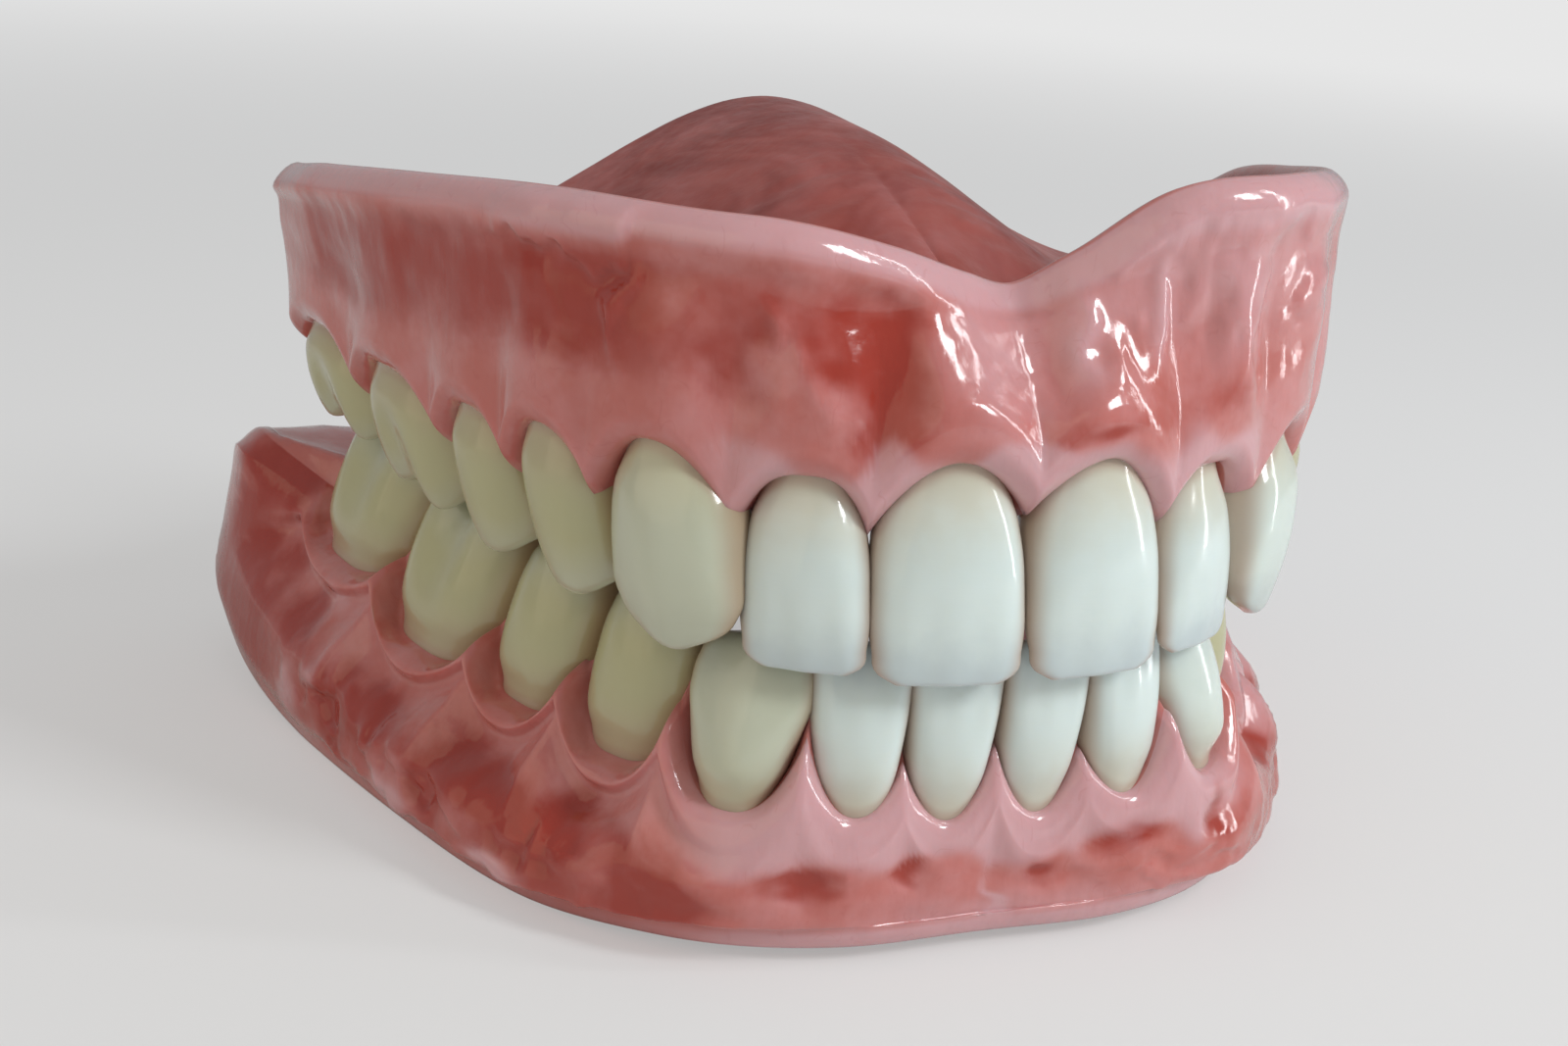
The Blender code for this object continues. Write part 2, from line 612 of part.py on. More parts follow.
def cut_sockets(plate, row, sides, material):
    """Cut a socket for each tooth, with the tooth's own form grown by the gap."""
    cutters = bpy.data.collections.new(plate.name + "_sockets")
    bpy.context.scene.collection.children.link(cutters)
    for side in sides:
        for tooth in range(len(KINDS)):
            name = f"{plate.name}_socket_{'right' if side < 0 else 'left'}_{KINDS[tooth]}"
            cutter = make_object(name, tooth_mesh(row, tooth, side, SOCKET_GAP), material, cutters)
            cutter.hide_render = True
            cutter.display_type = "WIRE"
    cut = plate.modifiers.new("Sockets", "BOOLEAN")
    cut.operation = "DIFFERENCE"
    cut.solver = "EXACT"
    cut.operand_type = "COLLECTION"
    cut.collection = cutters


def stand(objects):
    """Move every piece so that the lowest point is at Z = 0 and the box is centred on the origin, in metres."""
    points = np.array([vertex.co for made in objects for vertex in made.data.vertices])
    low = points.min(axis=0)
    high = points.max(axis=0)
    origin = np.array(((low[0] + high[0]) / 2, (low[1] + high[1]) / 2, low[2]))
    for made in bpy.data.objects:
        if made.type == "MESH":
            for vertex in made.data.vertices:
                vertex.co = (np.array(vertex.co) - origin) * MM


def build():
    for old in list(bpy.data.objects):
        bpy.data.objects.remove(old)
    gum = make_material("gum_acrylic", GUM_COLOUR, GUM_ROUGHNESS)
    front = make_material("front_tooth_acrylic", FRONT_COLOUR, TOOTH_ROUGHNESS)
    cheek = make_material("cheek_tooth_acrylic", CHEEK_COLOUR, TOOTH_ROUGHNESS)
    upper = make_object("upper_base", plate_mesh(upper_sections(-1), upper_sections(1), False, UPPER_CREST), gum)
    lower = make_object("lower_base", plate_mesh(lower_sections(-1), lower_sections(1), True, LOWER_CRESTS), gum)
    pieces = [upper, lower]
    for row in (UPPER, LOWER):
        for side in (-1, 1):
            for tooth, kind in enumerate(KINDS):
                name = f"{row.jaw}_{'right' if side < 0 else 'left'}_{kind}"
                material = front if tooth < FRONT_TEETH else cheek
                pieces.append(make_object(name, tooth_mesh(row, tooth, side), material))
    cut_sockets(upper, UPPER, (-1, 1), gum)
    cut_sockets(lower, LOWER, (-1, 1), gum)
    stand(pieces)


build()
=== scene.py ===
"""Looks of the full denture: moulded gum acrylic and fourteen acrylic teeth on each of the two plates.

The shapes are worked out in millimetres in a drawing frame: X to the wearer's left, Y to the back, Z up, with the
biting edges of the upper front teeth at Z = 0 and the front of the arch at Y = 0. They are then moved to the CAD.
An arc is a length along the arch line from the midline, and out is a distance at right angles to that line.
"""

import math
from types import SimpleNamespace

import bmesh
import bpy
import numpy as np
from bpy.props import FloatProperty, FloatVectorProperty, PointerProperty
from bpy.types import Operator, Panel, PropertyGroup
from mathutils import Matrix, Vector


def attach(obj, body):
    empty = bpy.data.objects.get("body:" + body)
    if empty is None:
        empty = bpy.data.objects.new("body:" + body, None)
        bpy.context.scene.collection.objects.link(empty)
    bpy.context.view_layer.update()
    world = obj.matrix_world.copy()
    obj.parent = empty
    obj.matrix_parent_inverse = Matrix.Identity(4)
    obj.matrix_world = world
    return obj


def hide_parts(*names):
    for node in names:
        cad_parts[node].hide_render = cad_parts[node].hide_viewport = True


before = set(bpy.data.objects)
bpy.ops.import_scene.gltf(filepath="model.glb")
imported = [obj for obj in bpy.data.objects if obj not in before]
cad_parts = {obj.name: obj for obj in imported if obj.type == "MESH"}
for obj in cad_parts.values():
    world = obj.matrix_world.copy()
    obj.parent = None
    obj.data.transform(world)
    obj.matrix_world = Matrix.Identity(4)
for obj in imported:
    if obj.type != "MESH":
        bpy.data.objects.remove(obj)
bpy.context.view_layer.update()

bl_info = {
    "name": "Full denture",
    "version": (1, 0, 0),
    "blender": (4, 5, 0),
    "location": "View3D > Sidebar > Denture",
    "description": "Builds the gum plates and the teeth of a full denture, with their acrylic finish",
    "category": "Object",
}

MM = 0.001
WELD = 1e-7

# The arch line passes through the upper biting edges and outer cusp tips, seen from above
ARCH_HALF_WIDTH = 29.1
ARCH_DEPTH = 37.4
ARCH_SQUARENESS = 0.71
ARCH_REACH = 40.0
ARCH_POINTS = 1601

# Kinds of teeth from the midline back
KINDS = (
    "central_incisor",
    "lateral_incisor",
    "canine",
    "first_premolar",
    "second_premolar",
    "first_molar",
    "second_molar",
)
INCISORS = 2
FRONT_TEETH = 3
MOLARS = 2

# Bite: how the two rows of teeth meet
BITE_GAP = 0.35
CUSP_SPACING = 6.0
FOSSA_DEPTH = 1.6
RIDGE_FILL = 0.4
CUSP_NOTCH = 1.1
CANINE_BLUNT = 0.16
CANINE_TIP = 0.12

# Crown profiles from the biting edge (0) to the neck (1)
LEVELS = (0.0, 0.05, 0.14, 0.3, 0.5, 0.72, 1.0)
INCISOR_DEPTH = (0.12, 0.2, 0.3, 0.5, 0.72, 0.92, 1.0)
INCISOR_BULGE = (0.0, 0.12, 0.3, 0.55, 0.7, 0.6, 0.0)
CANINE_DEPTH = (0.14, 0.26, 0.4, 0.62, 0.82, 0.96, 1.0)
CANINE_BULGE = (0.0, 0.2, 0.45, 0.8, 1.0, 0.9, 0.0)
CHEEK_SPREAD = (0.76, 0.85, 0.93, 1.0, 0.99, 0.95, 0.88)
CHEEK_DEPTH = (0.78, 0.86, 0.94, 1.0, 1.0, 0.97, 0.88)
CHEEK_BULGE = (0.0, 0.25, 0.55, 0.85, 1.0, 0.85, 0.0)
CROWN_SQUARENESS = 0.78
LINGUAL_NARROW = 0.22
FRONT_EDGE_ROUND = 0.32
CHEEK_EDGE_ROUND = 0.6
LEAST_HALF_DEPTH = 0.06
STUB_LENGTH = 2.0
STUB_TAPER = 0.82

# Outer faces and fissures, with the crown levels between which each form fades toward the neck
LOBE_DEPTH = 0.07
LOBES = 3
LOBE_END = 0.67
LOBE_FADE = (0.25, 0.75)
CANINE_RIDGE = 0.3
CANINE_RIDGE_WIDTH = 0.35
CANINE_RIDGE_FADE = (0.7, 1.0)
CUSP_GROOVE = 0.4
CUSP_GROOVE_FADE = (0.35, 0.85)
FISSURE_DEPTH = 0.22
FISSURE_WIDTH = 0.35
OUTER_TURN = (0.2, 1.0)

# Rings of a tooth: over the biting face, round its rim, down the crown and down the stub
FRONT_FACE_RINGS = 14
CHEEK_FACE_RINGS = 22
RIM_RINGS = 8
RIM_LEVEL = 0.045
RIM_POWER = 1.6
CROWN_RINGS = 44
STUB_LEVELS = (1.25, 1.6, 2.0)
TOOTH_SIDES = 88

# Tooth colour marks: tint of the canines toward the cheek-tooth colour on each side, a little as their own tint and
# more on the wearer's right as painted shade; reach of the painted shade beside the gum; focus of the brown stain
# and painted shade on the sides
CANINE_TINT_AND_PAINTED_SHADE = {-1: 0.6, 1: 0.15}
PAINTED_GUM_SHADE_REACH = 1.0
SIDE_STAIN_AND_SHADE_POWER = 3

# Gum line and the outside of the plates
COLLAR_POWER = 2.2
LIP_TUCK = 1.8
LIP_EDGE = 0.1
LIP_CREST = 0.02
LIP_SHOULDER = 0.75
COL_POWER = 6
ROLL_ARCS = (0.0, 16.0, 23.0, 60.0)
ROLL_BACK = 0.45
ROLL_SWELL = 0.28
ROLL_TOP = (0.55, 0.42)
STEP_DROP = 0.7
ROOT_ARCS = (0.0, 18.0, 30.0, 60.0)
ROOT_SHARE = 0.38
ROOT_MEAN = 0.3
ROOT_COLLAR = 0.25
HOLLOW_SHARE = 0.72
HOLLOW_ROOT = 0.3
HOLLOW_FILL = 0.05
PAPILLA_ARCS = (0.0, 17.0, 24.0, 60.0)
PAPILLA_BACK = (0.9, 1.0, 1.4, 1.6)
BORDER_ROUND = 1.4
LINGUAL_RISE = 2.4
LINGUAL_SCALLOP = 0.75
LINGUAL_LIP = 0.75
FLOOR_SINK = 0.2

# Behind the last tooth: the margin gives way to a slope, with its rolled rows at these shares of it
END_ROUND = 6.0
BEHIND_TEETH_DROP = 2.0
ROLL_BEHIND = 0.4
STEP_BEHIND = 0.7
PAD_START = 56.0
PAD_RISE = 2.6
PAD_ROUND = 0.9
PAD_OUT = 1.5

# Upper plate: arc along the arch, then a height or an out position at that arc
UPPER_END = 59.0
UPPER_END_NARROW = 0.8
UPPER_END_ROUND = 3.0
UPPER_ARCS = (0.0, 3.5, 9.0, 17.0, 27.0, 38.0, 49.0, 59.0)
UPPER_BORDER_RIGHT = (19.0, 19.8, 21.3, 22.6, 22.5, 21.3, 19.8, 18.4)
UPPER_BORDER_LEFT = (19.0, 20.8, 24.2, 25.19, 24.4, 22.9, 21.0, 17.6)
UPPER_BORDER_OUT = (-6.2, -5.0, -3.0, 0.3, 2.4, 3.2, 3.4, 2.4)
UPPER_BORDER_THICKNESS = 2.8
UPPER_GROOVE_ABOVE_NECK = 3.3
UPPER_GROOVE_FRONT = -3.6
UPPER_GROOVE_BACK = -6.4
UPPER_WALL = (0.75, 0.45)
PALATE_FRONT = 14.0
PALATE_BACK = 46.0
PALATE_CREST = 38.0
PALATE_TOP = 23.1
PALATE_FRONT_TOP = 17.6
PALATE_THICKNESS = 2.2
PALATE_CURVE = 1.55
PALATE_LEAVE = 3
PALATE_FITTING_PARTS = (1.0, 0.9, 0.78, 0.64, 0.5, 0.37, 0.25, 0.15, 0.07)
PALATE_POLISHED_PARTS = (0.05, 0.13, 0.24, 0.37, 0.5, 0.64, 0.78, 0.9, 1.0)

# Lower plate
LOWER_END = 69.0
LOWER_END_NARROW = 0.5
LOWER_ARCS = (0.0, 9.0, 18.0, 27.0, 37.0, 48.0, 58.0, 69.0)
LOWER_BORDER = (-15.4, -15.4, -15.7, -16.3, -16.3, -16.3, -15.0, -11.6)
LOWER_BORDER_OUT = (-1.2, -0.1, 1.4, 2.6, 3.0, 3.6, 4.2, 3.8)
LOWER_SWELL = (0.0, 0.4, 2.0, 2.9, 2.6, 2.2, 2.0, 1.6)
LOWER_BORDER_WIDTH = 2.8
LOWER_BORDER_FLAT = 0.5
LOWER_GROOVE_END = 1.5
LOWER_GROOVE_MARGIN = 0.6
LOWER_GROOVE_UNDER_NECK = 3.3
LOWER_GROOVE_FRONT = -2.8
LOWER_GROOVE_BACK = -7.6
LOWER_LINGUAL_OUT = (-12.3, -12.0, -12.0, -12.2, -12.6, -13.2, -12.0, -9.0)
LOWER_LINGUAL_BORDER = (-15.0, -15.0, -15.6, -16.3, -16.3, -16.3, -15.6, -12.2)
LINGUAL_ROLL = 1.3
LINGUAL_HOLLOW = 0.4
LINGUAL_HOLLOW_SHARES = (0.5, 0.45)

# Fineness of the plates: arc step, sections past the last tooth, and rows between the drawn rows
SECTION_STEP = 0.27
END_SECTIONS = 24
EDGE_CLOSE = 2.2
UPPER_COUNTS = (5,) * 8 + (4, 8, 8, 12, 12) + (6, 8, 6, 6, 6, 5, 4, 4, 3, 2, 2, 4, 3) + (3,) * 7 + (4,)
LOWER_COUNTS = (2, 3, 6, 5, 5, 6, 7, 7, 7, 9, 6, 3, 5, 8, 6, 8, 5, 3, 5, 8, 8, 5, 3)

# Drawn rows of the palate where its fitting side ends and its polished side starts
PALATE_FITTING_ROW = 9
PALATE_POLISHED_ROW = 25

# Palate relief: folds behind the front teeth, a seam on the midline and a small hill at its front
FOLD_SPACING = 3.3
FOLD_SLANT = 0.28
FOLD_BEND = 0.5
FOLD_BEND_WAVE = 0.7
FOLD_REACH_START = (1.2, 3.0)
FOLD_REACH_END = (8.0, 11.5)
FOLD_DEPTH_START = (2.0, 3.5)
FOLD_DEPTH_END = (12.5, 16.0)
FOLD_HEIGHT = 0.32
FITTING_FOLD_DEPTH = 0.12
SEAM_HEIGHT = 0.16
SEAM_WIDTH = 0.7
SEAM_START = (3.0, 6.0)
HILL_HEIGHT = 0.5
HILL_WIDTH = 1.5
HILL_LENGTH = 2.2
HILL_DEPTH = 1.6

# Raised sheet of wax: level of its edge, drop toward the front, height and rate of its two waves, and its arcs
SHEET_LEVEL = 0.8
SHEET_DROP = 0.1
SHEET_DROP_ARCS = (-27.5, -23.5)
SHEET_WAVES = ((0.03, 1.9), (0.015, 4.3))
SHEET_CRISP = 0.02
SHEET_START = (-31.0, -28.0)
SHEET_END = (-22.3, -21.7)
SHEET_CREST = (0.9, 0.98)

# Noise on the outside of a plate: height, spacing and start along the arch, waves and start down it, seed step
NOISE_TABLE = 128
WAVES = (0.4, 3.4, 40, 4.0, 0, 0)
FURROWS = (0.1, 0.9, 150, 1.7, 0, 2)
CREASES = (0.25, 2.6, 70, 3.4, 10, 4)
BLOB_WARP = (0.8, 2.4, 30, 5.0, 0, 5)
BLOBS = (1.0, 1.9, 60, 7.0, 20, 3)
CRUMBS = (0.45, 0.8, 20, 15.0, 50, 1)
PATCH_SHIFT = (0.9, 1.7, 90, 7.0, 30, 6)
PATCH_DROP = (0.04, 1.5, 20, 8.0, 60, 7)
MARGIN_WANDER = (0.12, 2.1, 80, 3.0, 5, 8)
MOTTLE = (0.45, 1.3, 15, 11.0, 40, 9)
FURROW_SLANT = 1.8
BLOB_RANGE = (-0.45, 0.35)
BLOB_MEAN = 0.6
ROUGH_HEIGHT = 1.5
CARVED_DEPTH = 1.8
CARVED_LEVELS = (0.0, 0.2)
BODY_START = (0.12, 0.3)
BODY_END = (0.84, 1.0)
DOWN_START = (0.1, 0.3)
DOWN_END = (0.9, 1.0)
RELIEF_END = (46.0, 56.0)
FULLNESS_START = (0.0, 0.2)
LEAST_LEVEL = -0.6

# Red of the tone and the patches with painted shade in the carved parts, and pale of margins and rims with painted
# light on the raised parts
TONE_START = (0.15, 0.4)
TONE_END = (0.72, 0.95)
MOTTLE_MEAN = 0.85
CARVED_SHADE_MOST = 0.6
RAISED_FROM = 0.06
RAISED_MOST = 0.4
RAISED_ARCS = (20.0, 25.0)
MARGIN_ARCS = (13.0, 20.0)
MARGIN_LOSS = 0.85
RIM_LEVELS = (0.8, 0.94)
RIM_ARCS = (12.0, 18.0)
LUMP_PAINTED_LIGHT = 0.5
DEEP_OVER_PALE = 0.6
PALE_END = (54.0, 58.0)

# Place of the drawing frame's origin in the CAD frame
DRAWING_ORIGIN = (0.0, 27.5617, -16.3)

# Noise scales of the acrylics, in cells per metre
GUM_CLOUD = 170.0
GUM_GRAIN = 900.0
GUM_FIBRE = 520.0
GUM_BUMPS = 330.0
GUM_DULL = 75.0
TOOTH_CLOUD = 260.0
TOOTH_BUMPS = 420.0
TOOTH_LINES = (300.0, 300.0, 1900.0)

# Share of its own plain colour that the floor shows the camera, and the distances between which that grows to 1
FLOOR_PLAIN = 0.45
FLOOR_FADE = (0.14, 0.6)

# Lamps: name, place in metres, width and height, share of the power, colour
LAMPS = (
    ("main lamp", (0.24, -0.26, 0.30), (0.09, 0.14), 1.0, (0.95, 0.98, 1.0)),
    ("strip lamp", (0.27, -0.12, 0.11), (0.018, 0.34), 0.3, (0.95, 0.98, 1.0)),
    ("fill lamp", (-0.34, -0.16, 0.20), (0.5, 0.5), 0.44, (1.0, 0.82, 0.58)),
)
LAMP_AIM = (0.0, -0.01, 0.02)

# Camera, solved from the outlines of the teeth, in the drawing frame
CAMERA_PLACE = (-47.752, -83.593, 39.885)
CAMERA_AZIMUTH = -21.903
CAMERA_ELEVATION = 18.794
CAMERA_ROLL = 5.019
CAMERA_LENS = 46.55
SENSOR_WIDTH = 36.0
CLIP_START = 0.005


def cubic(part, span, start, start_slope, end, end_slope):
    """Cubic piece over a span, from its start to its end, with the given slopes there."""
    leaving = (1 + 2 * part) * (1 - part) ** 2 * start + part * (1 - part) ** 2 * span * start_slope
    return leaving + part**2 * (3 - 2 * part) * end + part**2 * (part - 1) * span * end_slope


def smooth(at, stations, values):
    """Curve through the values at the stations: cubic pieces with the neighbours' slope, level at turning points."""
    stations = np.asarray(stations, float)
    values = np.asarray(values, float)
    at = np.clip(np.asarray(at, float), stations[0], stations[-1])
    slopes = np.gradient(values, stations)
    rises = np.diff(values)
    slopes[1:-1][rises[1:] * rises[:-1] <= 0] = 0.0
    slopes[[0, -1]] = 0.0
    left = np.clip(np.searchsorted(stations, at, side="right") - 1, 0, len(stations) - 2)
    span = stations[left + 1] - stations[left]
    part = (at - stations[left]) / span
    return cubic(part, span, values[left], slopes[left], values[left + 1], slopes[left + 1])


def between(start, end, part):
    """Point at a share of the way from start to end."""
    return start + (end - start) * part


def soft_step(value, low, high):
    """0 below low, 1 above high, and the cubic 3t^2 - 2t^3 between them."""
    part = np.clip((value - low) / (high - low), 0, 1)
    return part**2 * (3 - 2 * part)


def fade(value, low, high):
    """1 below low, 0 above high, and the soft step turned over between them."""
    return 1 - soft_step(value, low, high)


def hump(share):
    """Cosine wave that is 0 at whole numbers and 1 halfway between them."""
    return 0.5 - 0.5 * np.cos(2 * np.pi * share)


def bell(*shares):
    """Round hill that is 1 where all shares are 0: e to the minus sum of their squares."""
    return np.exp(-sum(share**2 for share in shares))


def lattice_noise(across, along, seed):
    """Random values from -1 to 1 at whole numbers of both coordinates, joined by the cubic step."""
    table = np.random.default_rng(seed).uniform(-1, 1, (NOISE_TABLE, NOISE_TABLE))
    column = np.floor(across).astype(int)
    line = np.floor(along).astype(int)
    right = soft_step(across - column, 0.0, 1.0)
    column, next_column = column % NOISE_TABLE, (column + 1) % NOISE_TABLE
    low, high = (
        between(table[column, row % NOISE_TABLE], table[next_column, row % NOISE_TABLE], right)
        for row in (line, line + 1)
    )
    return between(low, high, soft_step(along - line, 0.0, 1.0))


def arch_depth(reach):
    """Depth of the arch line at a distance from the midline: a parabola mixed with a fourth power."""
    share = reach / ARCH_HALF_WIDTH
    return ARCH_DEPTH * ((1 - ARCH_SQUARENESS) * share**2 + ARCH_SQUARENESS * share**4)


LINE_X = np.linspace(0.0, ARCH_REACH, ARCH_POINTS)
LINE_Y = arch_depth(LINE_X)
LINE_ARC = np.concatenate(([0.0], np.cumsum(np.hypot(np.diff(LINE_X), np.diff(LINE_Y)))))
LINE_SLOPE = np.gradient(LINE_Y, LINE_X)


def on_arch(arc, out):
    """Plan position at an arc length from the midline, moved outward at right angles to the arch line."""
    reach = np.interp(arc, LINE_ARC, LINE_X)
    slope = np.interp(arc, LINE_ARC, LINE_SLOPE)
    steep = 1 / np.hypot(1, slope)
    return reach + out * slope * steep, arch_depth(reach) - out * steep


def placed(side, arc, out, height):
    """Points on one side of the mouth, from their arcs, out positions and heights."""
    x, y = on_arch(arc, out)
    return np.stack((side * x, y, height + 0 * x), axis=-1)


def at_contacts(values, first):
    """Values where neighbours meet: their means, after a first value, with the last one repeated at the end."""
    return np.concatenate(([first], (values[:-1] + values[1:]) / 2, values[-1:]))


class TeethRow:
    """Row of teeth of one jaw, on one side: where each tooth starts, ends and leans, and the gum round it.

    The sizes are given for each kind of tooth from the midline back: width along the arch, thickness, heights of the
    edge and the neck, step and lean outward, and lean back, both leans for each millimetre toward the neck. Overlap
    and papillae are given at the contacts, before and after each tooth. Setback moves the whole row inward. The
    gum's scallop is the power of its curve, its collar a share of the papillae, its lip a thickness and its col a
    depth between two teeth. The roll's height, reach and step follow ROLL_ARCS, and roots and hollow follow ROOT_ARCS.
    """

    def __init__(self, jaw, **sizes):
        self.jaw = jaw
        self.toward_gum = 1 if jaw == "upper" else -1
        for name, values in sizes.items():
            setattr(self, name, np.array(values))
        self.ends = np.concatenate(([0.0], np.cumsum(self.width)))
        self.centre = (self.ends[:-1] + self.ends[1:]) / 2
        self.length = np.abs(self.neck - self.edge)
        self.end_lean = at_contacts(self.lean_back, 0.0)
        self.neck_ends = self.ends + self.end_lean * at_contacts(self.length, self.length[0])
        self.neck_centres = self.centre + self.lean_back * self.length

    def place(self, arc):
        """Number of the tooth whose neck holds each arc, and -1 to 1 from its front end to its back end."""
        tooth = np.clip(np.searchsorted(self.neck_ends, arc, side="right") - 1, 0, len(self.centre) - 1)
        offset = arc - self.neck_centres[tooth]
        front = self.neck_centres[tooth] - self.neck_ends[tooth]
        back = self.neck_ends[tooth + 1] - self.neck_centres[tooth]
        return tooth, np.clip(offset / np.where(offset < 0, front, back), -1, 1)

    def at_necks(self, arc, values):
        """Curve along the arch through one value for each tooth, at the middle of its neck."""
        return smooth(arc, self.neck_centres, values)

    def neck_face(self, arc):
        """Out position of the faces of the teeth at their necks, blended from tooth to tooth."""
        return self.at_necks(arc, -self.setback + self.step_out + self.lean_out * self.length)

    def crown(self, tooth):
        """Spread, depth and bulge of a tooth's crown at LEVELS."""
        if tooth < INCISORS:
            return self.incisor_spread, INCISOR_DEPTH, INCISOR_BULGE
        if tooth < FRONT_TEETH:
            return self.canine_spread, CANINE_DEPTH, CANINE_BULGE
        return CHEEK_SPREAD, CHEEK_DEPTH, CHEEK_BULGE


UPPER = TeethRow(
    "upper",
    setback=0.0,
    overlap=(0.0, 0.2, 0.5, 0.15, 0.0, 0.0, 0.0, 0.0),
    width=(8.5, 6.6, 7.3, 6.8, 6.7, 10.0, 10.6),
    thickness=(6.2, 5.8, 7.4, 9.0, 9.2, 10.6, 10.2),
    edge=(-0.1, 0.3, 0.6, 1.0, 1.15, 1.6, 2.8),
    neck=(11.2, 10.1, 11.0, 10.5, 9.7, 9.6, 9.5),
    step_out=(0.0, 0.0, 0.8, 0.2, 0.0, 0.0, 0.0),
    lean_out=(-0.17, -0.17, -0.04, 0.14, 0.14, 0.16, 0.14),
    lean_back=(0.015, 0.1, 0.2, 0.115, 0.09, 0.17, 0.2),
    incisor_spread=(0.7, 0.89, 0.95, 1.0, 1.0, 0.93, 0.72),
    canine_spread=(0.34, 0.7, 0.92, 1.0, 1.0, 0.95, 0.76),
    canine_point=1.0,
    papillae=(3.1, 3.7, 4.1, 3.9, 3.5, 3.4, 3.4, 3.4),
    scallop=(1.9, 2.8, 2.2, 2.3, 2.4, 2.4, 2.4),
    collar=0.85,
    lip=0.45,
    col=0.8,
    roll_height=(1.5,) * 4,
    roll_out=(1.05,) * 4,
    roll_step=(0.0,) * 4,
    roots=(0.75, 0.75, 0.35, 0.2),
    hollow=(0.6, 0.35, 0.05, 0.0),
)
LOWER = TeethRow(
    "lower",
    setback=2.2,
    overlap=(0.0, 0.2, 0.5, 0.2, 0.0, 0.0, 0.0, 0.0),
    width=(5.6, 5.7, 7.4, 7.5, 7.5, 10.6, 11.2),
    thickness=(5.0, 5.4, 6.6, 7.4, 7.8, 9.2, 9.0),
    edge=(1.3, 1.3, 1.2, 0.0, 0.0, 0.0, 0.0),
    neck=(-8.6, -7.9, -7.9, -7.6, -7.0, -6.8, -5.2),
    step_out=(0.0, -0.1, -0.1, 0.0, 0.0, 0.0, 0.0),
    lean_out=(0.02, 0.14, 0.26, 0.12, 0.2, 0.35, 0.45),
    lean_back=(0.0, 0.0, 0.02, 0.1, 0.12, 0.14, 0.2),
    incisor_spread=(0.8, 0.93, 0.99, 1.0, 0.97, 0.91, 0.82),
    canine_spread=(0.6, 0.84, 0.96, 1.0, 0.89, 0.75, 0.6),
    canine_point=0.8,
    papillae=(3.9, 2.9, 4.2, 4.4, 3.8, 2.9, 2.7, 2.7),
    scallop=(2.05, 2.05, 2.6, 4.0, 5.0, 5.5, 4.5),
    collar=0.8,
    lip=0.4,
    col=1.8,
    roll_height=(1.5, 1.2, 0.95, 0.95),
    roll_out=(0.8, 0.85, 0.8, 0.8),
    roll_step=(-0.15, -0.05, 0.4, 0.4),
    roots=(0.3, 0.35, 0.25, 0.2),
    hollow=(0.1, 0.3, 0.7, 0.75),
)


def notches(row, arc):
    """Dips and contacts of a row of teeth.

    The first value is 0 at each cusp and 1 in the dips between them, where a molar has two cusps on a side. The
    second is a fourth power that rises to 1 where two teeth meet.
    """
    tooth = np.clip(np.searchsorted(row.ends, arc, side="right") - 1, 0, len(row.centre) - 1)
    share = 2 * (arc - row.centre[tooth]) / row.width[tooth]
    molar = tooth >= len(KINDS) - MOLARS
    return np.where(molar, 1 - hump(share), hump(share / 2)), np.clip(np.abs(share), 0, 1) ** 4


def bite_height(arc, out):
    """Surface where the cheek teeth meet: a cosine wave across the row, with its low lines at the upper cusps."""
    fossa = hump(out / CUSP_SPACING)
    notch, ridge = notches(UPPER, arc)
    tip = smooth(arc, UPPER.centre, UPPER.edge)
    return tip + FOSSA_DEPTH * fossa * (1 - RIDGE_FILL * ridge) + CUSP_NOTCH * notch * (1 - fossa)


def biting_face(row, tooth, arc, out, share):
    """Height of a tooth's biting edge or biting face at a place on it.

    A cheek tooth stops half the gap short of the surface where the teeth meet, and a canine comes to a blunt point.
    """
    if tooth >= FRONT_TEETH:
        meeting = bite_height(arc, out)
        if row.jaw == "upper":
            return meeting + BITE_GAP / 2
        notch, _ = notches(row, arc)
        return meeting - BITE_GAP / 2 - CUSP_NOTCH * notch * hump(out / CUSP_SPACING)
    point = row.canine_point if tooth >= INCISORS else 0.0
    return row.edge[tooth] + row.toward_gum * point * (np.hypot(share + CANINE_TIP, CANINE_BLUNT) - CANINE_BLUNT)


def crown_levels(tooth):
    """Levels of a tooth's rings: -1 to 0 over the biting face, 0 to 1 down the crown and up to 2 down the stub."""
    face = np.linspace(-1, 0, FRONT_FACE_RINGS if tooth < FRONT_TEETH else CHEEK_FACE_RINGS, endpoint=False)
    rim = RIM_LEVEL * np.linspace(0, 1, RIM_RINGS, endpoint=False) ** RIM_POWER
    return np.concatenate((face, rim, np.linspace(RIM_LEVEL, 1, CROWN_RINGS), STUB_LEVELS))[:, None]


def outer_form(row, tooth, arc, share, along):
    """Relief of a tooth's outer face: two grooves on an incisor, a ridge down a canine, grooves between cusps."""
    if tooth < INCISORS:
        return -LOBE_DEPTH * hump(LOBES / 2 * np.clip(share, -LOBE_END, LOBE_END)) * fade(along, *LOBE_FADE)
    if tooth < FRONT_TEETH:
        return CANINE_RIDGE * bell(share / CANINE_RIDGE_WIDTH) * fade(along, *CANINE_RIDGE_FADE)
    notch, _ = notches(row, arc)
    return -CUSP_GROOVE * notch * fade(along, *CUSP_GROOVE_FADE)


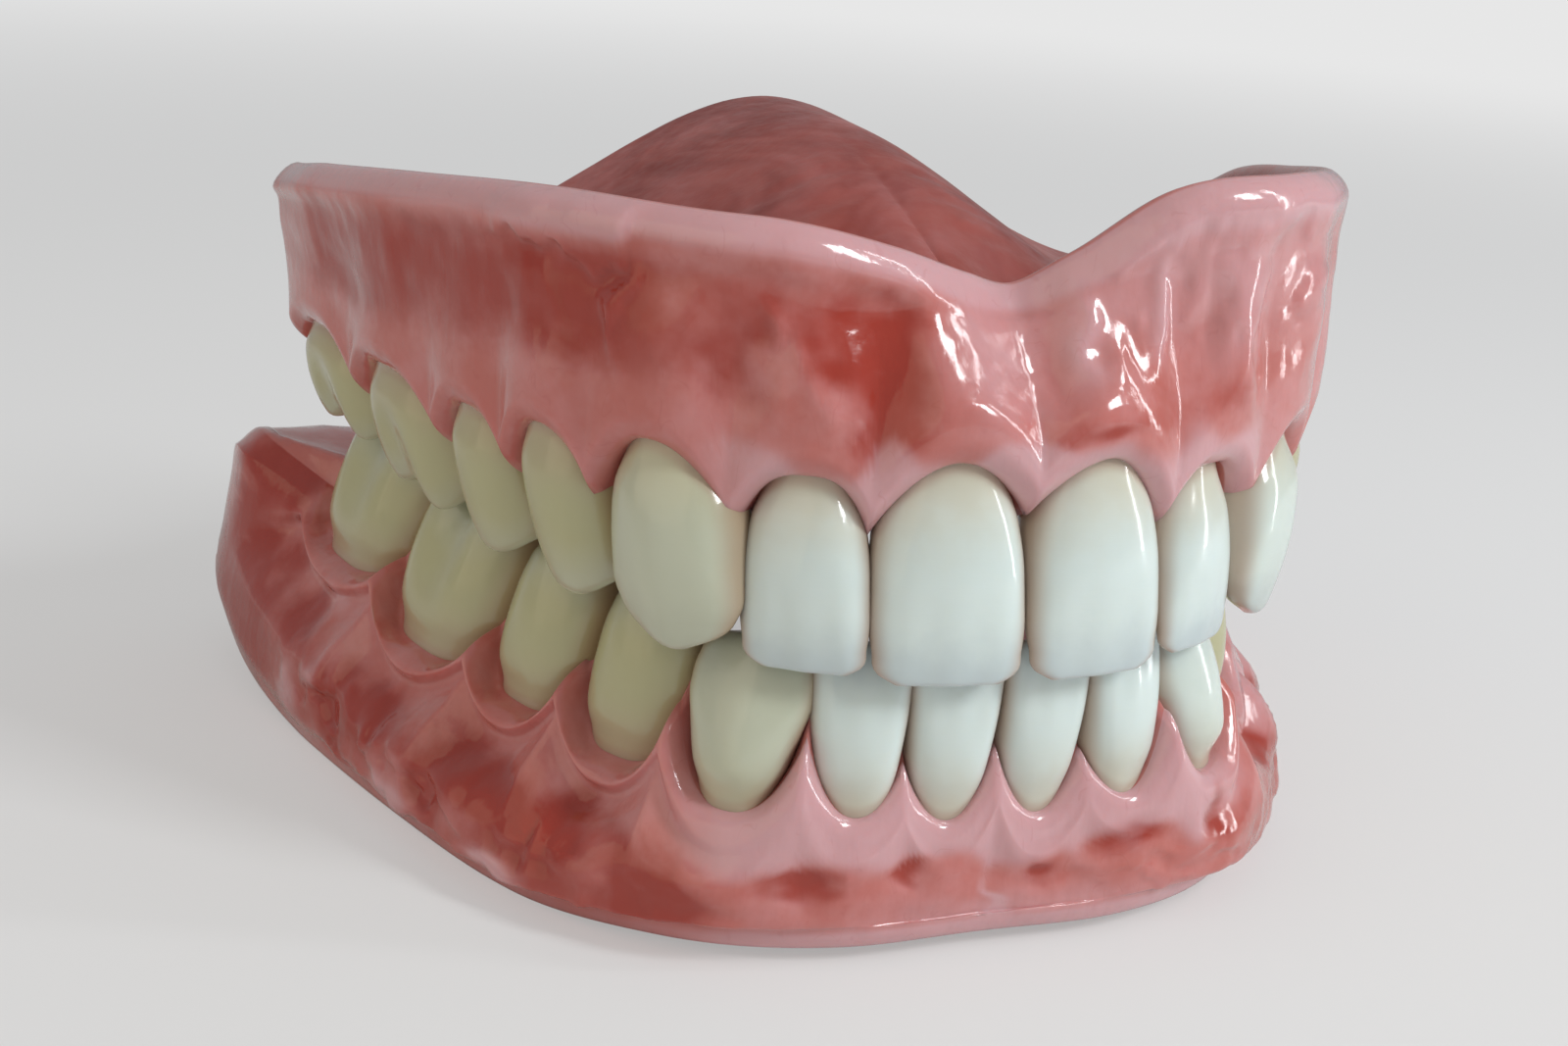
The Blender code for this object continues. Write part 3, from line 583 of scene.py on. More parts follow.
def tooth_surface(row, tooth, side, gap, edge_round):
    """One tooth over level and turn, and the values that its finish reads.

    Each level is a superellipse whose width, depth and bulge follow the crown profiles from the biting edge to the
    neck. Near the edge it draws in by a quarter circle. Below the edge it closes over the biting face to a point,
    and past the neck it tapers to the end of the stub, which the last ring closes.
    """
    level = crown_levels(tooth)
    turn = np.linspace(0, 2 * np.pi, TOOTH_SIDES, endpoint=False)[None, :]
    across = np.sign(np.cos(turn)) * np.abs(np.cos(turn)) ** CROWN_SQUARENESS
    through = np.sign(np.sin(turn)) * np.abs(np.sin(turn)) ** CROWN_SQUARENESS
    spread_at, depth_at, bulge_at = row.crown(tooth)
    along = np.clip(level, 0, 1)
    stub = np.maximum(level - 1, 0)
    rise = row.length[tooth] * along
    back_by, out_by = row.lean_back[tooth] * rise, row.lean_out[tooth] * rise
    draw_in = edge_round * (1 - np.sqrt(1 - (1 - np.minimum(rise / edge_round, 1)) ** 2))
    shrink = (1 - (1 - STUB_TAPER) * stub) * (1 + np.minimum(level, 0))

    centre = row.centre[tooth] + back_by
    front_end = row.ends[tooth] + row.end_lean[tooth] * rise + (gap - row.overlap[tooth]) / 2
    back_end = row.ends[tooth + 1] + row.end_lean[tooth + 1] * rise - (gap - row.overlap[tooth + 1]) / 2
    half = np.where(across < 0, centre - front_end, back_end - centre)
    half = half * smooth(along, LEVELS, spread_at) - draw_in
    share = across * half * shrink / (row.width[tooth] / 2)
    arc = centre + half * shrink * across * (1 - LINGUAL_NARROW * soft_step(-through, 0.0, 1.0))

    depth = row.thickness[tooth] * smooth(along, LEVELS, depth_at)
    face = row.step_out[tooth] - row.setback + out_by + smooth(along, LEVELS, bulge_at)
    out = face - depth / 2 + np.maximum(depth / 2 - draw_in, LEAST_HALF_DEPTH) * shrink * through
    form = outer_form(row, tooth, centre + share * row.width[tooth] / 2 - back_by, share, along)
    out = out + form * soft_step(through, *OUTER_TURN) * shrink

    top = biting_face(row, tooth, arc - back_by, out - out_by, share)
    if tooth >= FRONT_TEETH:
        fissure = bell((out + CUSP_SPACING / 2) / FISSURE_WIDTH)
        top = top + row.toward_gum * FISSURE_DEPTH * fissure * (level < 0)
    height = between(top, row.neck[tooth], along) + row.toward_gum * STUB_LENGTH * stub
    points = placed(side, arc, out, height)
    points = np.concatenate((points, points[-1:].mean(axis=1, keepdims=True) + 0 * points[-1:]))

    margin = margin_height(row, tooth, np.clip(across * (1 - LINGUAL_NARROW), -1, 1))
    values = {
        "neckward": along,
        # Sides of the tooth: brown stain and painted shade between neighbours
        "side_stain_and_shade": np.abs(across) ** SIDE_STAIN_AND_SHADE_POWER,
        # Canine tint: a little is its own colour, the rest on the wearer's right is painted shade
        "canine_tint_and_painted_shade": CANINE_TINT_AND_PAINTED_SHADE[side] if tooth == FRONT_TEETH - 1 else 0.0,
        # Painted shade on the tooth within reach of the gum margin
        "painted_gum_shade": fade(row.toward_gum * (margin - height), 0.0, PAINTED_GUM_SHADE_REACH),
    }
    for name, value in values.items():
        rings = np.broadcast_to(value, height.shape)
        values[name] = np.concatenate((rings, rings[-1:]))
    return points, values


def margin_height(row, tooth, share):
    """Height of the gum margin: a power of the distance from the middle of a neck, up to the papilla on that side."""
    other = np.clip(tooth + np.where(share < 0, -1, 1), 0, len(row.neck) - 1)
    papilla = (row.neck[tooth] + row.neck[other]) / 2 - row.toward_gum * row.papillae[tooth + (share > 0)]
    return between(row.neck[tooth], papilla, np.abs(share) ** row.scallop[tooth])


def gum_line(row, arc):
    """Height of the gum margin, height of the collar past it, and the share across the tooth at each arc.

    The collar is a lower scallop of round arcs that meet between the teeth.
    """
    tooth, share = row.place(arc)
    rise = row.papillae[tooth + (share > 0)]
    collar = row.at_necks(arc, row.neck) - row.toward_gum * rise * row.collar * np.abs(share) ** COLLAR_POWER
    return margin_height(row, tooth, share), collar, share


def outer_rows(row, arc, border_out, border, swell=0.0, pad_out=0.0):
    """Rows from inside the teeth over the rolled gum margin and the roots down to the shoulder of the border.

    Each row is an out position and a height at every arc. Behind the last tooth, where past rises to 1, the margin
    and its roll give way to an even slope from the lip to the roots, which pad_out pushes outward.
    """
    toward = row.toward_gum
    past = np.clip((arc - row.neck_ends[-1]) / END_ROUND, 0, 1)
    line, collar, share = gum_line(row, arc)
    face = row.neck_face(arc)
    top = face + row.lip
    papilla_back = smooth(arc, PAPILLA_ARCS, PAPILLA_BACK) * share**2
    lip_line = line - toward * BEHIND_TEETH_DROP * past
    lip_out = face - papilla_back + (swell + pad_out) * past
    lip_face = lip_out + row.lip

    roll_height = smooth(arc, ROLL_ARCS, row.roll_height)
    roll_line = collar + toward * roll_height
    roll_out = face + smooth(arc, ROLL_ARCS, row.roll_out) - ROLL_BACK * papilla_back
    roll_out = roll_out + between(ROLL_SWELL * swell, swell + pad_out, past)
    base_line = row.at_necks(arc, row.neck) + toward * roll_height

    bulge = smooth(arc, ROOT_ARCS, row.roots) * (np.cos(np.pi / 2 * share) ** 2 - ROOT_MEAN)
    root_out = between(top, border_out, ROOT_SHARE) + bulge + swell
    root_line = between(between(base_line, roll_line, ROOT_COLLAR), border, ROOT_SHARE)
    hollow_out = between(top, border_out, HOLLOW_SHARE) + HOLLOW_ROOT * bulge
    hollow_out = hollow_out - smooth(arc, ROOT_ARCS, row.hollow) + swell
    hollow_line = between(base_line, border, HOLLOW_SHARE)

    def behind_teeth(out, height, part):
        """Row of the roll, moved behind the last tooth to a share of the slope."""
        slope_out = between(lip_face, root_out, part)
        slope_line = between(lip_line, root_line, part)
        return between(out, slope_out, past), between(height, slope_line, past)

    step = (roll_out - smooth(arc, ROLL_ARCS, row.roll_step), roll_line + toward * STEP_DROP)
    step = behind_teeth(*step, STEP_BEHIND)
    roll_out, roll_line = behind_teeth(roll_out, roll_line, ROLL_BEHIND)
    return [
        (lip_out - LIP_TUCK, lip_line + toward * (LIP_EDGE - row.col * share**COL_POWER * (1 - past))),
        (lip_out - LIP_EDGE - PAD_ROUND * past, lip_line - LIP_CREST * toward),
        (lip_out + LIP_SHOULDER * row.lip, lip_line + toward * between(LIP_EDGE, PAD_ROUND, past)),
        (between(lip_face, roll_out, ROLL_TOP[0]), between(lip_line, roll_line, ROLL_TOP[1])),
        (roll_out, roll_line),
        step,
        (root_out, root_line),
        (between(root_out, hollow_out, 0.5) + HOLLOW_FILL, between(root_line, hollow_line, 0.5)),
        (hollow_out, hollow_line),
        (border_out, border - toward * BORDER_ROUND),
    ]


def inner_gum(row, arc):
    """Gum margin on the tongue side at each station, as an out position and a height."""
    line, _, _ = gum_line(row, arc)
    flat = row.at_necks(arc, row.neck) - row.toward_gum * LINGUAL_RISE
    out = row.neck_face(arc) - row.at_necks(arc, row.thickness) - LINGUAL_LIP
    return out, between(flat, line, LINGUAL_SCALLOP)


def plate_arcs(row, end):
    """Arcs of the sections on one side: an even step, with one at each tooth's centre and ends, closer at the end."""
    marks = np.sort(np.concatenate((row.neck_ends, row.neck_centres)))
    pieces = []
    for start, finish in zip(marks, marks[1:]):
        count = max(round((finish - start) / SECTION_STEP), 2)
        pieces.append(np.linspace(start, finish, count, endpoint=False))
    turn = np.linspace(0, np.pi / 2, END_SECTIONS)
    pieces.append(between(marks[-1], end, np.sin(turn)))
    return np.concatenate(pieces)


def through_rows(rows, counts):
    """Curves through rows of points by cubic pieces that level out at turning points, with more rows between."""
    steps = np.linalg.norm(np.diff(rows, axis=0), axis=-1).mean(axis=1)
    knots = np.concatenate(([0.0], np.cumsum(steps)))
    slopes = np.gradient(rows, knots, axis=0)
    rises = np.diff(rows, axis=0)
    slopes[1:-1][rises[1:] * rises[:-1] <= 0] = 0.0
    slopes[[0, -1], :, 2] = 0.0
    made = []
    for place, count in enumerate(counts):
        part = np.linspace(0, 1, count, endpoint=False)[:, None, None]
        span = knots[place + 1] - knots[place]
        made.append(cubic(part, span, rows[place], slopes[place], rows[place + 1], slopes[place + 1]))
    return np.concatenate(made + [rows[-1:]])


def draw_in_end(points, middle, arc, end, reach, narrow=0.0):
    """Last sections drawn in toward their middles, on a quarter ellipse, to the narrow share of their size."""
    part = np.clip((arc - (end - reach)) / reach, 0, 1)
    return middle + (points - middle) * between(narrow, 1.0, np.sqrt(1 - part**2))[None, :, None]


def palate_top(depth):
    """Height of the fitting side of the palate on the midline, a quarter sine from front to crest."""
    part = np.clip((depth - PALATE_FRONT) / (PALATE_CREST - PALATE_FRONT), 0, 1)
    return between(PALATE_FRONT_TOP, PALATE_TOP, np.sin(np.pi / 2 * part))


def upper_sections(side):
    """Sections of the upper plate on one side, from the midline over the fitting side and the outside and back."""
    arc = plate_arcs(UPPER, UPPER_END)
    border = smooth(arc, UPPER_ARCS, UPPER_BORDER_RIGHT if side < 0 else UPPER_BORDER_LEFT)
    border_out = smooth(arc, UPPER_ARCS, UPPER_BORDER_OUT)
    outer = outer_rows(UPPER, arc, border_out, border)
    inner_out, inner_line = inner_gum(UPPER, arc)
    floor = ((outer[1][0] + inner_out) / 2, np.maximum(outer[1][1], inner_line) + FLOOR_SINK)
    groove = UPPER.at_necks(arc, UPPER.neck) + UPPER_GROOVE_ABOVE_NECK
    groove_back = UPPER.neck_face(arc) + UPPER_GROOVE_BACK
    groove_front = UPPER.neck_face(arc) + UPPER_GROOVE_FRONT
    wall_out = border_out - UPPER_BORDER_THICKNESS
    wall_line = border - BORDER_ROUND
    wall = [
        (groove_back, groove),
        (groove_front, groove),
        (between(groove_front, wall_out, UPPER_WALL[0]), between(groove, wall_line, UPPER_WALL[1])),
        (wall_out, wall_line),
        (border_out - UPPER_BORDER_THICKNESS / 2, border),
    ]
    middle_y = between(PALATE_FRONT, PALATE_BACK, arc / UPPER_END)
    back_x, back_y = on_arch(arc, groove_back)

    def palate(part, start_out, polished):
        """Row of the palate at a share of the way to the midline, a power of a sine high over the groove."""
        start_x, start_y = on_arch(arc, start_out)
        x = between(start_x, 0.0, part)
        y = between(start_y, middle_y, part)
        share = 1 - np.hypot(x, y - middle_y) / np.hypot(back_x, back_y - middle_y)
        top = between(groove, palate_top(middle_y), np.sin(np.pi / 2 * np.clip(share, 0, 1) ** PALATE_CURVE))
        if polished:
            top = between(inner_line, top - PALATE_THICKNESS, 1 - (1 - part) ** PALATE_LEAVE)
        return np.stack((side * x, y, top), axis=-1)

    ridge = [placed(side, arc, *point) for point in (*wall, *reversed(outer), floor, (inner_out, inner_line))]
    ridge = np.array(ridge)
    middle = ridge.mean(axis=0, keepdims=True)
    ridge = draw_in_end(ridge, middle, arc, UPPER_END, UPPER_END_ROUND, UPPER_END_NARROW)
    fitting = [palate(part, groove_back, False) for part in PALATE_FITTING_PARTS]
    polished = [palate(part, inner_out, True) for part in PALATE_POLISHED_PARTS]
    points = through_rows(np.concatenate((fitting, ridge, polished)), UPPER_COUNTS)
    return arc, draw_in_end(points, (points + points[::-1]) / 2, arc, UPPER_END, EDGE_CLOSE)


def lower_sections(side):
    """Sections of the lower plate on one side: down the outside, through the groove and up the tongue side."""
    arc = plate_arcs(LOWER, LOWER_END)
    pad = np.clip((arc - PAD_START) / (LOWER_END - PAD_START), 0, 1)
    border, border_out, swell, tongue_out, tongue_border = (
        smooth(arc, LOWER_ARCS, values)
        for values in (LOWER_BORDER, LOWER_BORDER_OUT, LOWER_SWELL, LOWER_LINGUAL_OUT, LOWER_LINGUAL_BORDER)
    )
    outer = outer_rows(LOWER, arc, border_out, border, swell, PAD_OUT)
    inner_out, inner_line = inner_gum(LOWER, arc)
    floor = ((outer[1][0] + inner_out) / 2, np.minimum(outer[1][1], inner_line) - FLOOR_SINK + PAD_RISE * pad)
    width = LOWER_BORDER_WIDTH
    edge = width * (1 - LOWER_BORDER_FLAT) / 2
    groove = LOWER.at_necks(arc, LOWER.neck) - LOWER_GROOVE_UNDER_NECK
    groove = between(groove, border + LOWER_GROOVE_END, pad**2)
    groove_front = LOWER.neck_face(arc) + LOWER_GROOVE_FRONT
    groove_back = np.maximum(LOWER.neck_face(arc) + LOWER_GROOVE_BACK, tongue_out + width + LOWER_GROOVE_MARGIN)
    tongue_lip = inner_out - LINGUAL_LIP
    across, down = LINGUAL_HOLLOW_SHARES
    tongue_hollow = (between(tongue_lip, tongue_out, across) + LINGUAL_HOLLOW, between(inner_line, tongue_border, down))
    drawn = [
        floor,
        *outer,
        (border_out - edge, border),
        (border_out - width + edge, border),
        (border_out - width, border + BORDER_ROUND),
        (groove_front, groove),
        (groove_back, groove),
        (tongue_out + width, tongue_border + BORDER_ROUND),
        (tongue_out + width - edge, tongue_border),
        (tongue_out + edge, tongue_border),
        (tongue_out, tongue_border + BORDER_ROUND),
        tongue_hollow,
        (tongue_lip, inner_line - LINGUAL_ROLL),
        (inner_out, inner_line),
        floor,
    ]
    points = through_rows(np.array([placed(side, arc, *point) for point in drawn]), LOWER_COUNTS)[:-1]
    for reach, narrow in ((END_ROUND, LOWER_END_NARROW), (EDGE_CLOSE, 0.0)):
        points = draw_in_end(points, points.mean(axis=0, keepdims=True), arc, LOWER_END, reach, narrow)
    return arc, points


def row_places(counts):
    """Place of each row between the drawn rows, as the number of the drawn row and the share to the next."""
    places = [number + np.linspace(0, 1, count, endpoint=False) for number, count in enumerate(counts)]
    return np.concatenate(places + [np.array([float(len(counts))])])


def both_sides(sections):
    """Arcs and points of the right side and the left side joined at the midline; right arcs are negative."""
    arc, right = sections(-1)
    _, left = sections(1)
    points = np.concatenate((right[:, ::-1], left[:, 1:]), axis=1)
    return np.concatenate((-arc[::-1], arc[1:])), points


def patches(arc, down, places):
    """Sum of soft round patches, each given by its arc, its place down the outside, two half sizes and a strength."""
    amount = 0.0 * (arc + down)
    for at_arc, at_down, wide, tall, strength in places:
        amount = amount + strength * bell((arc - at_arc) / wide, (down - at_down) / tall)
    return amount


def outside_noise(arc, level, seed, layer, warp=0.0):
    """Lattice noise on the outside of a plate, at the height and spacings of a layer, shifted by a warp."""
    height, spacing, arc_start, waves, level_start, seed_step = layer
    across = arc / spacing + arc_start + warp
    return height * lattice_noise(across, waves * level + level_start + warp, seed + seed_step)


class PlateGrid:
    """Grid of a plate, and where each of its points lies.

    Place counts the drawn rows. Down runs from the gum margin (0) to the crest of the border (1) by place, and level
    runs from the necks (0) to the border (1) by height. Outside marks the rows between the margin and the crest.
    Uneven is the arc and the level shifted by noise, so that round patches on it get uneven outlines.
    """

    def __init__(self, row, look, arc, points):
        place = row_places(look.counts)[: len(points)]
        crest = points[np.argmin(np.abs(place - look.crest_row)), :, 2]
        neck = row.at_necks(np.abs(arc), row.neck)
        self.points = points
        self.outer_row = np.argmin(np.abs(place - (look.margin_row + look.crest_row) / 2))
        self.arc = arc[None, :]
        self.reach = np.abs(self.arc)
        self.place = place[:, None]
        self.down = np.clip((self.place - look.margin_row) / (look.crest_row - look.margin_row), 0, 1)
        self.outside = (self.place - look.margin_row) * (self.place - look.crest_row) < 0
        self.level = np.clip((points[..., 2] - neck) / (crest - neck), LEAST_LEVEL, 1.0)
        shift, drop = (outside_noise(self.arc, self.level, look.seed, layer) for layer in (PATCH_SHIFT, PATCH_DROP))
        self.uneven = (self.arc + shift, self.level + drop)


def wax_sheet(grid):
    """Raised sheet of wax below the rim on the right cheek, 1 past a crisp edge that follows two sine waves."""
    arc = grid.arc
    edge = SHEET_LEVEL - SHEET_DROP * soft_step(arc, *SHEET_DROP_ARCS)
    for height, rate in SHEET_WAVES:
        edge = edge + height * np.sin(rate * arc)
    window = soft_step(arc, *SHEET_START) * fade(arc, *SHEET_END)
    return window * soft_step(grid.level, edge - SHEET_CRISP, edge + SHEET_CRISP) * grid.outside


def palate_relief(grid):
    """Palate folds behind the front teeth, a raised seam on the midline and the small hill at its front.

    The folds are the upper halves of sine waves that bend back with the reach from the midline. All stand out on the
    tongue side; only faint folds are pressed into the fitting side.
    """
    reach = np.abs(grid.points[..., 0])
    depth = grid.points[..., 1] - PALATE_FRONT
    bend = FOLD_SLANT * reach + FOLD_BEND * np.sin(FOLD_BEND_WAVE * reach)
    folds = np.clip(np.sin(2 * np.pi * (depth - bend) / FOLD_SPACING), 0, 1)
    folds = folds * soft_step(reach, *FOLD_REACH_START) * fade(reach, *FOLD_REACH_END)
    folds = folds * soft_step(depth, *FOLD_DEPTH_START) * fade(depth, *FOLD_DEPTH_END)
    seam = bell(reach / SEAM_WIDTH) * soft_step(depth, *SEAM_START)
    hill = bell(reach / HILL_WIDTH, (depth - HILL_DEPTH) / HILL_LENGTH)
    polished = soft_step(grid.place, PALATE_POLISHED_ROW, PALATE_POLISHED_ROW + 2.0)
    raised = (FOLD_HEIGHT * folds + SEAM_HEIGHT * seam + HILL_HEIGHT * hill) * polished
    return raised - FITTING_FOLD_DEPTH * folds * (grid.place < PALATE_FITTING_ROW)


def cheek_fullness(grid):
    """Fullness of the lower plate on the wearer's left, past the canine."""
    return patches(grid.arc, grid.level, LOWER_FULLNESS) * grid.outside * soft_step(grid.down, *FULLNESS_START)


def waxed_relief(grid, look, depth):
    """Hand-waxed relief of the outside: waves, upright furrows, creases, rough places, lumps and carved hollows.

    A crease stands where its noise passes 0, and the lumps of the rough places are noise cut off by the soft step.
    """
    arc, level, seed = grid.arc, grid.level, look.seed
    waves = outside_noise(arc, level, seed, WAVES)
    furrows = outside_noise(arc + FURROW_SLANT * level, level, seed, FURROWS)
    creases = CREASES[0] / 2 - np.abs(outside_noise(arc, level, seed, CREASES))
    warp = outside_noise(arc, level, seed, BLOB_WARP)
    blobs = outside_noise(arc, level, seed, BLOBS, warp) + outside_noise(arc, level, seed, CRUMBS)
    blobs = soft_step(blobs, *BLOB_RANGE) - BLOB_MEAN
    rough = ROUGH_HEIGHT * np.clip(patches(arc, level, look.rough), 0, 1)
    body = soft_step(level, *BODY_START) * fade(level, *BODY_END)
    carved = patches(*grid.uneven, look.hollows) * soft_step(level, *CARVED_LEVELS)
    raised = patches(*grid.uneven, look.lumps)
    relief = depth * ((waves + furrows + creases + rough * blobs) * body + raised - CARVED_DEPTH * carved)
    relief = relief * grid.outside * soft_step(grid.down, *DOWN_START) * fade(grid.down, *DOWN_END)
    return relief * fade(grid.reach, *RELIEF_END)


def push_out(points, amount, outside_row):
    """Move a grid of points along its normals, which are turned so that the given row moves away from the middle."""
    normal = np.cross(np.gradient(points, axis=0), np.gradient(points, axis=1))
    normal = normal / np.maximum(np.linalg.norm(normal, axis=-1, keepdims=True), 1e-9)
    if normal[outside_row, points.shape[1] // 2, 1] > 0:
        normal = -normal
    return points + normal * amount[..., None]


def to_cad(points):
    """Points of the drawing frame in the CAD's frame, in metres."""
    return (points - np.array(DRAWING_ORIGIN)) * MM


def add_surface(name, points, material, values, closed_rows=False, closed_columns=False):
    """Object from a grid of points, with its doubled points merged and its faces turned outward."""
    rows, columns = points.shape[:2]
    index = np.arange(rows * columns).reshape(rows, columns)
    if closed_rows:
        index = np.vstack((index, index[:1]))
    if closed_columns:
        index = np.hstack((index, index[:, :1]))
    quads = np.stack((index[:-1, :-1], index[1:, :-1], index[1:, 1:], index[:-1, 1:]), axis=-1).reshape(-1, 4)
    data = bpy.data.meshes.new(name)
    data.from_pydata(to_cad(points).reshape(-1, 3).tolist(), [], quads.tolist())
    for value_name, value in values.items():
        attribute = data.attributes.new(value_name, "FLOAT", "POINT")
        attribute.data.foreach_set("value", np.ascontiguousarray(value, dtype=np.float32).ravel())
    mesh = bmesh.new()
    mesh.from_mesh(data)
    bmesh.ops.remove_doubles(mesh, verts=mesh.verts, dist=WELD)
    bmesh.ops.recalc_face_normals(mesh, faces=mesh.faces)
    mesh.to_mesh(data)
    mesh.free()
    data.shade_smooth()
    data.materials.append(material)
    made = bpy.data.objects.new(name, data)
    bpy.context.scene.collection.objects.link(made)
    return made


class Finish:
    """Node tree of one material, with short calls to add nodes and join them."""

    def __init__(self, name):
        self.material = bpy.data.materials.new(name)
        self.material.use_nodes = True
        self.tree = self.material.node_tree
        self.shader = self.tree.nodes["Principled BSDF"]
        self.place = self.tree.nodes.new("ShaderNodeTexCoord").outputs["Object"]

    def node(self, kind, inputs, **settings):
        """Add a node; an input that is a socket is joined, and any other is set."""
        made = self.tree.nodes.new(kind)
        for key, value in settings.items():
            setattr(made, key, value)
        for key, value in inputs.items():
            if isinstance(value, bpy.types.NodeSocket):
                self.tree.links.new(value, made.inputs[key])
            else:
                made.inputs[key].default_value = value
        return made

    def attribute(self, name):
        """Value that the mesh holds at each point."""
        return self.node("ShaderNodeAttribute", {}, attribute_name=name).outputs["Fac"]

    def noise(self, scale, detail=3.0, roughness=0.5, distortion=0.0, place=None):
        """Noise from 0 to 1 at a scale, read at the object's coordinates unless a place is given."""
        inputs = {"Vector": place or self.place, "Scale": scale, "Detail": detail}
        inputs.update({"Roughness": roughness, "Distortion": distortion})
        return self.node("ShaderNodeTexNoise", inputs).outputs["Fac"]

    def stretched(self, scale):
        """Object coordinates scaled by a different amount along each axis."""
        return self.node("ShaderNodeMapping", {"Vector": self.place, "Scale": scale}).outputs["Vector"]

    def remap(self, value, low, high, to_low=0.0, to_high=1.0):
        """Value moved from one range to another by the cubic step, and held at the ends."""
        inputs = {"Value": value, "From Min": low, "From Max": high, "To Min": to_low, "To Max": to_high}
        return self.node("ShaderNodeMapRange", inputs, interpolation_type="SMOOTHSTEP").outputs["Result"]

    def math(self, operation, first, second=0.0):
        """Result of one sum on two values."""
        return self.node("ShaderNodeMath", {0: first, 1: second}, operation=operation).outputs["Value"]

    def mix(self, factor, first, second):
        """Colour at a share of the way from first to second."""
        made = self.node("ShaderNodeMix", {0: factor, 6: first, 7: second}, data_type="RGBA")
        return made.outputs[2]

    def bump(self, height, strength, distance, normal=None):
        """Normal tilted by a height, on top of another normal where one is given."""
        inputs = {"Height": height, "Strength": strength, "Distance": distance}
        if normal:
            inputs["Normal"] = normal
        return self.node("ShaderNodeBump", inputs).outputs["Normal"]

    def finish(self, **values):
        """Set or join the shader's own inputs, whose names are given with _ for each space."""
        for key, value in values.items():
            socket = self.shader.inputs[key.replace("_", " ")]
            if isinstance(value, bpy.types.NodeSocket):
                self.tree.links.new(value, socket)
            else:
                socket.default_value = value
        return self.material


def rgba(colour):
    """Colour with full opacity."""
    return (*colour, 1.0)


def gum_acrylic(settings):
    """Heat-cured pink acrylic: mottled pink, red hollows partly of painted shade, a paler rim and margins, painted
    light on raised places, short red fibres.

    The fibres are the thin lines where a noise passes its middle. The fitting side is dull and rougher.
    """
    finish = Finish("gum acrylic")
    cloud = finish.noise(GUM_CLOUD, 4.0, 0.6)
    grain = finish.noise(GUM_GRAIN, 3.0, 0.6)
    fitting = finish.attribute("fitting")
    pink = finish.mix(finish.remap(cloud, 0.35, 0.68), rgba(settings.gum_colour), rgba(settings.light_colour))
    # Red from the plate's values: the acrylic's own red, with painted shade in the hollows
    red_and_painted_shade = finish.math("ADD", finish.attribute("red_and_painted_shade"), finish.remap(cloud, 0.3, 0.7, 0.12, -0.12))
    pink = finish.mix(finish.remap(red_and_painted_shade, 0.15, 0.95), pink, rgba(settings.red_and_painted_shade_colour))
    # Pale from the plate's values: paler margins and rims, with painted light on raised places
    pale = finish.remap(finish.attribute("pale"), 0.0, 1.0, 0.0, 0.85)
    pink = finish.mix(pale, pink, rgba(settings.pale_and_painted_light_colour))

    fibre = finish.noise(GUM_FIBRE, 1.5, 0.5, 0.8, finish.stretched((1.0, 1.0, 0.5)))
    fibre = finish.math("ABSOLUTE", finish.math("SUBTRACT", fibre, 0.5))
    patchy = finish.remap(finish.noise(GUM_GRAIN, 1.0), 0.5, 0.62)
    fibre = finish.math("MULTIPLY", finish.remap(fibre, 0.0, 0.02, 0.1, 0.0), patchy)
    pink = finish.mix(fibre, pink, rgba(settings.red_and_painted_shade_colour))
    dull = finish.remap(finish.noise(GUM_DULL, 4.0, 0.65, 0.6), 0.36, 0.64, 0.45, 0.95)
    pink = finish.mix(finish.math("MULTIPLY", fitting, dull), pink, rgba(settings.fitting_colour))

    rough = finish.math("MULTIPLY", fitting, 0.22)
    streaks = finish.noise(GUM_GRAIN, 2.0, 0.6, 0.0, finish.stretched((1.0, 1.0, 0.22)))
    normal = finish.bump(streaks, 0.2, 0.00025, finish.bump(grain, 0.18, 0.00012))
    return finish.finish(
        Base_Color=pink,
        Roughness=finish.math("ADD", finish.remap(grain, 0.3, 0.7, 0.1, 0.2), rough),
        Normal=finish.bump(finish.noise(GUM_BUMPS, 2.0, 0.5), 0.35, 0.0004, normal),
        IOR=1.49,
        Subsurface_Weight=0.25,
        Subsurface_Radius=(1.0, 0.35, 0.25),
        Subsurface_Scale=0.0018,
        Specular_IOR_Level=finish.remap(fitting, 0.0, 1.0, 0.5, 0.25),
        Coat_Weight=finish.math("MULTIPLY", finish.math("SUBTRACT", 1.0, fitting), 0.45),
        Coat_Roughness=0.06,
    )


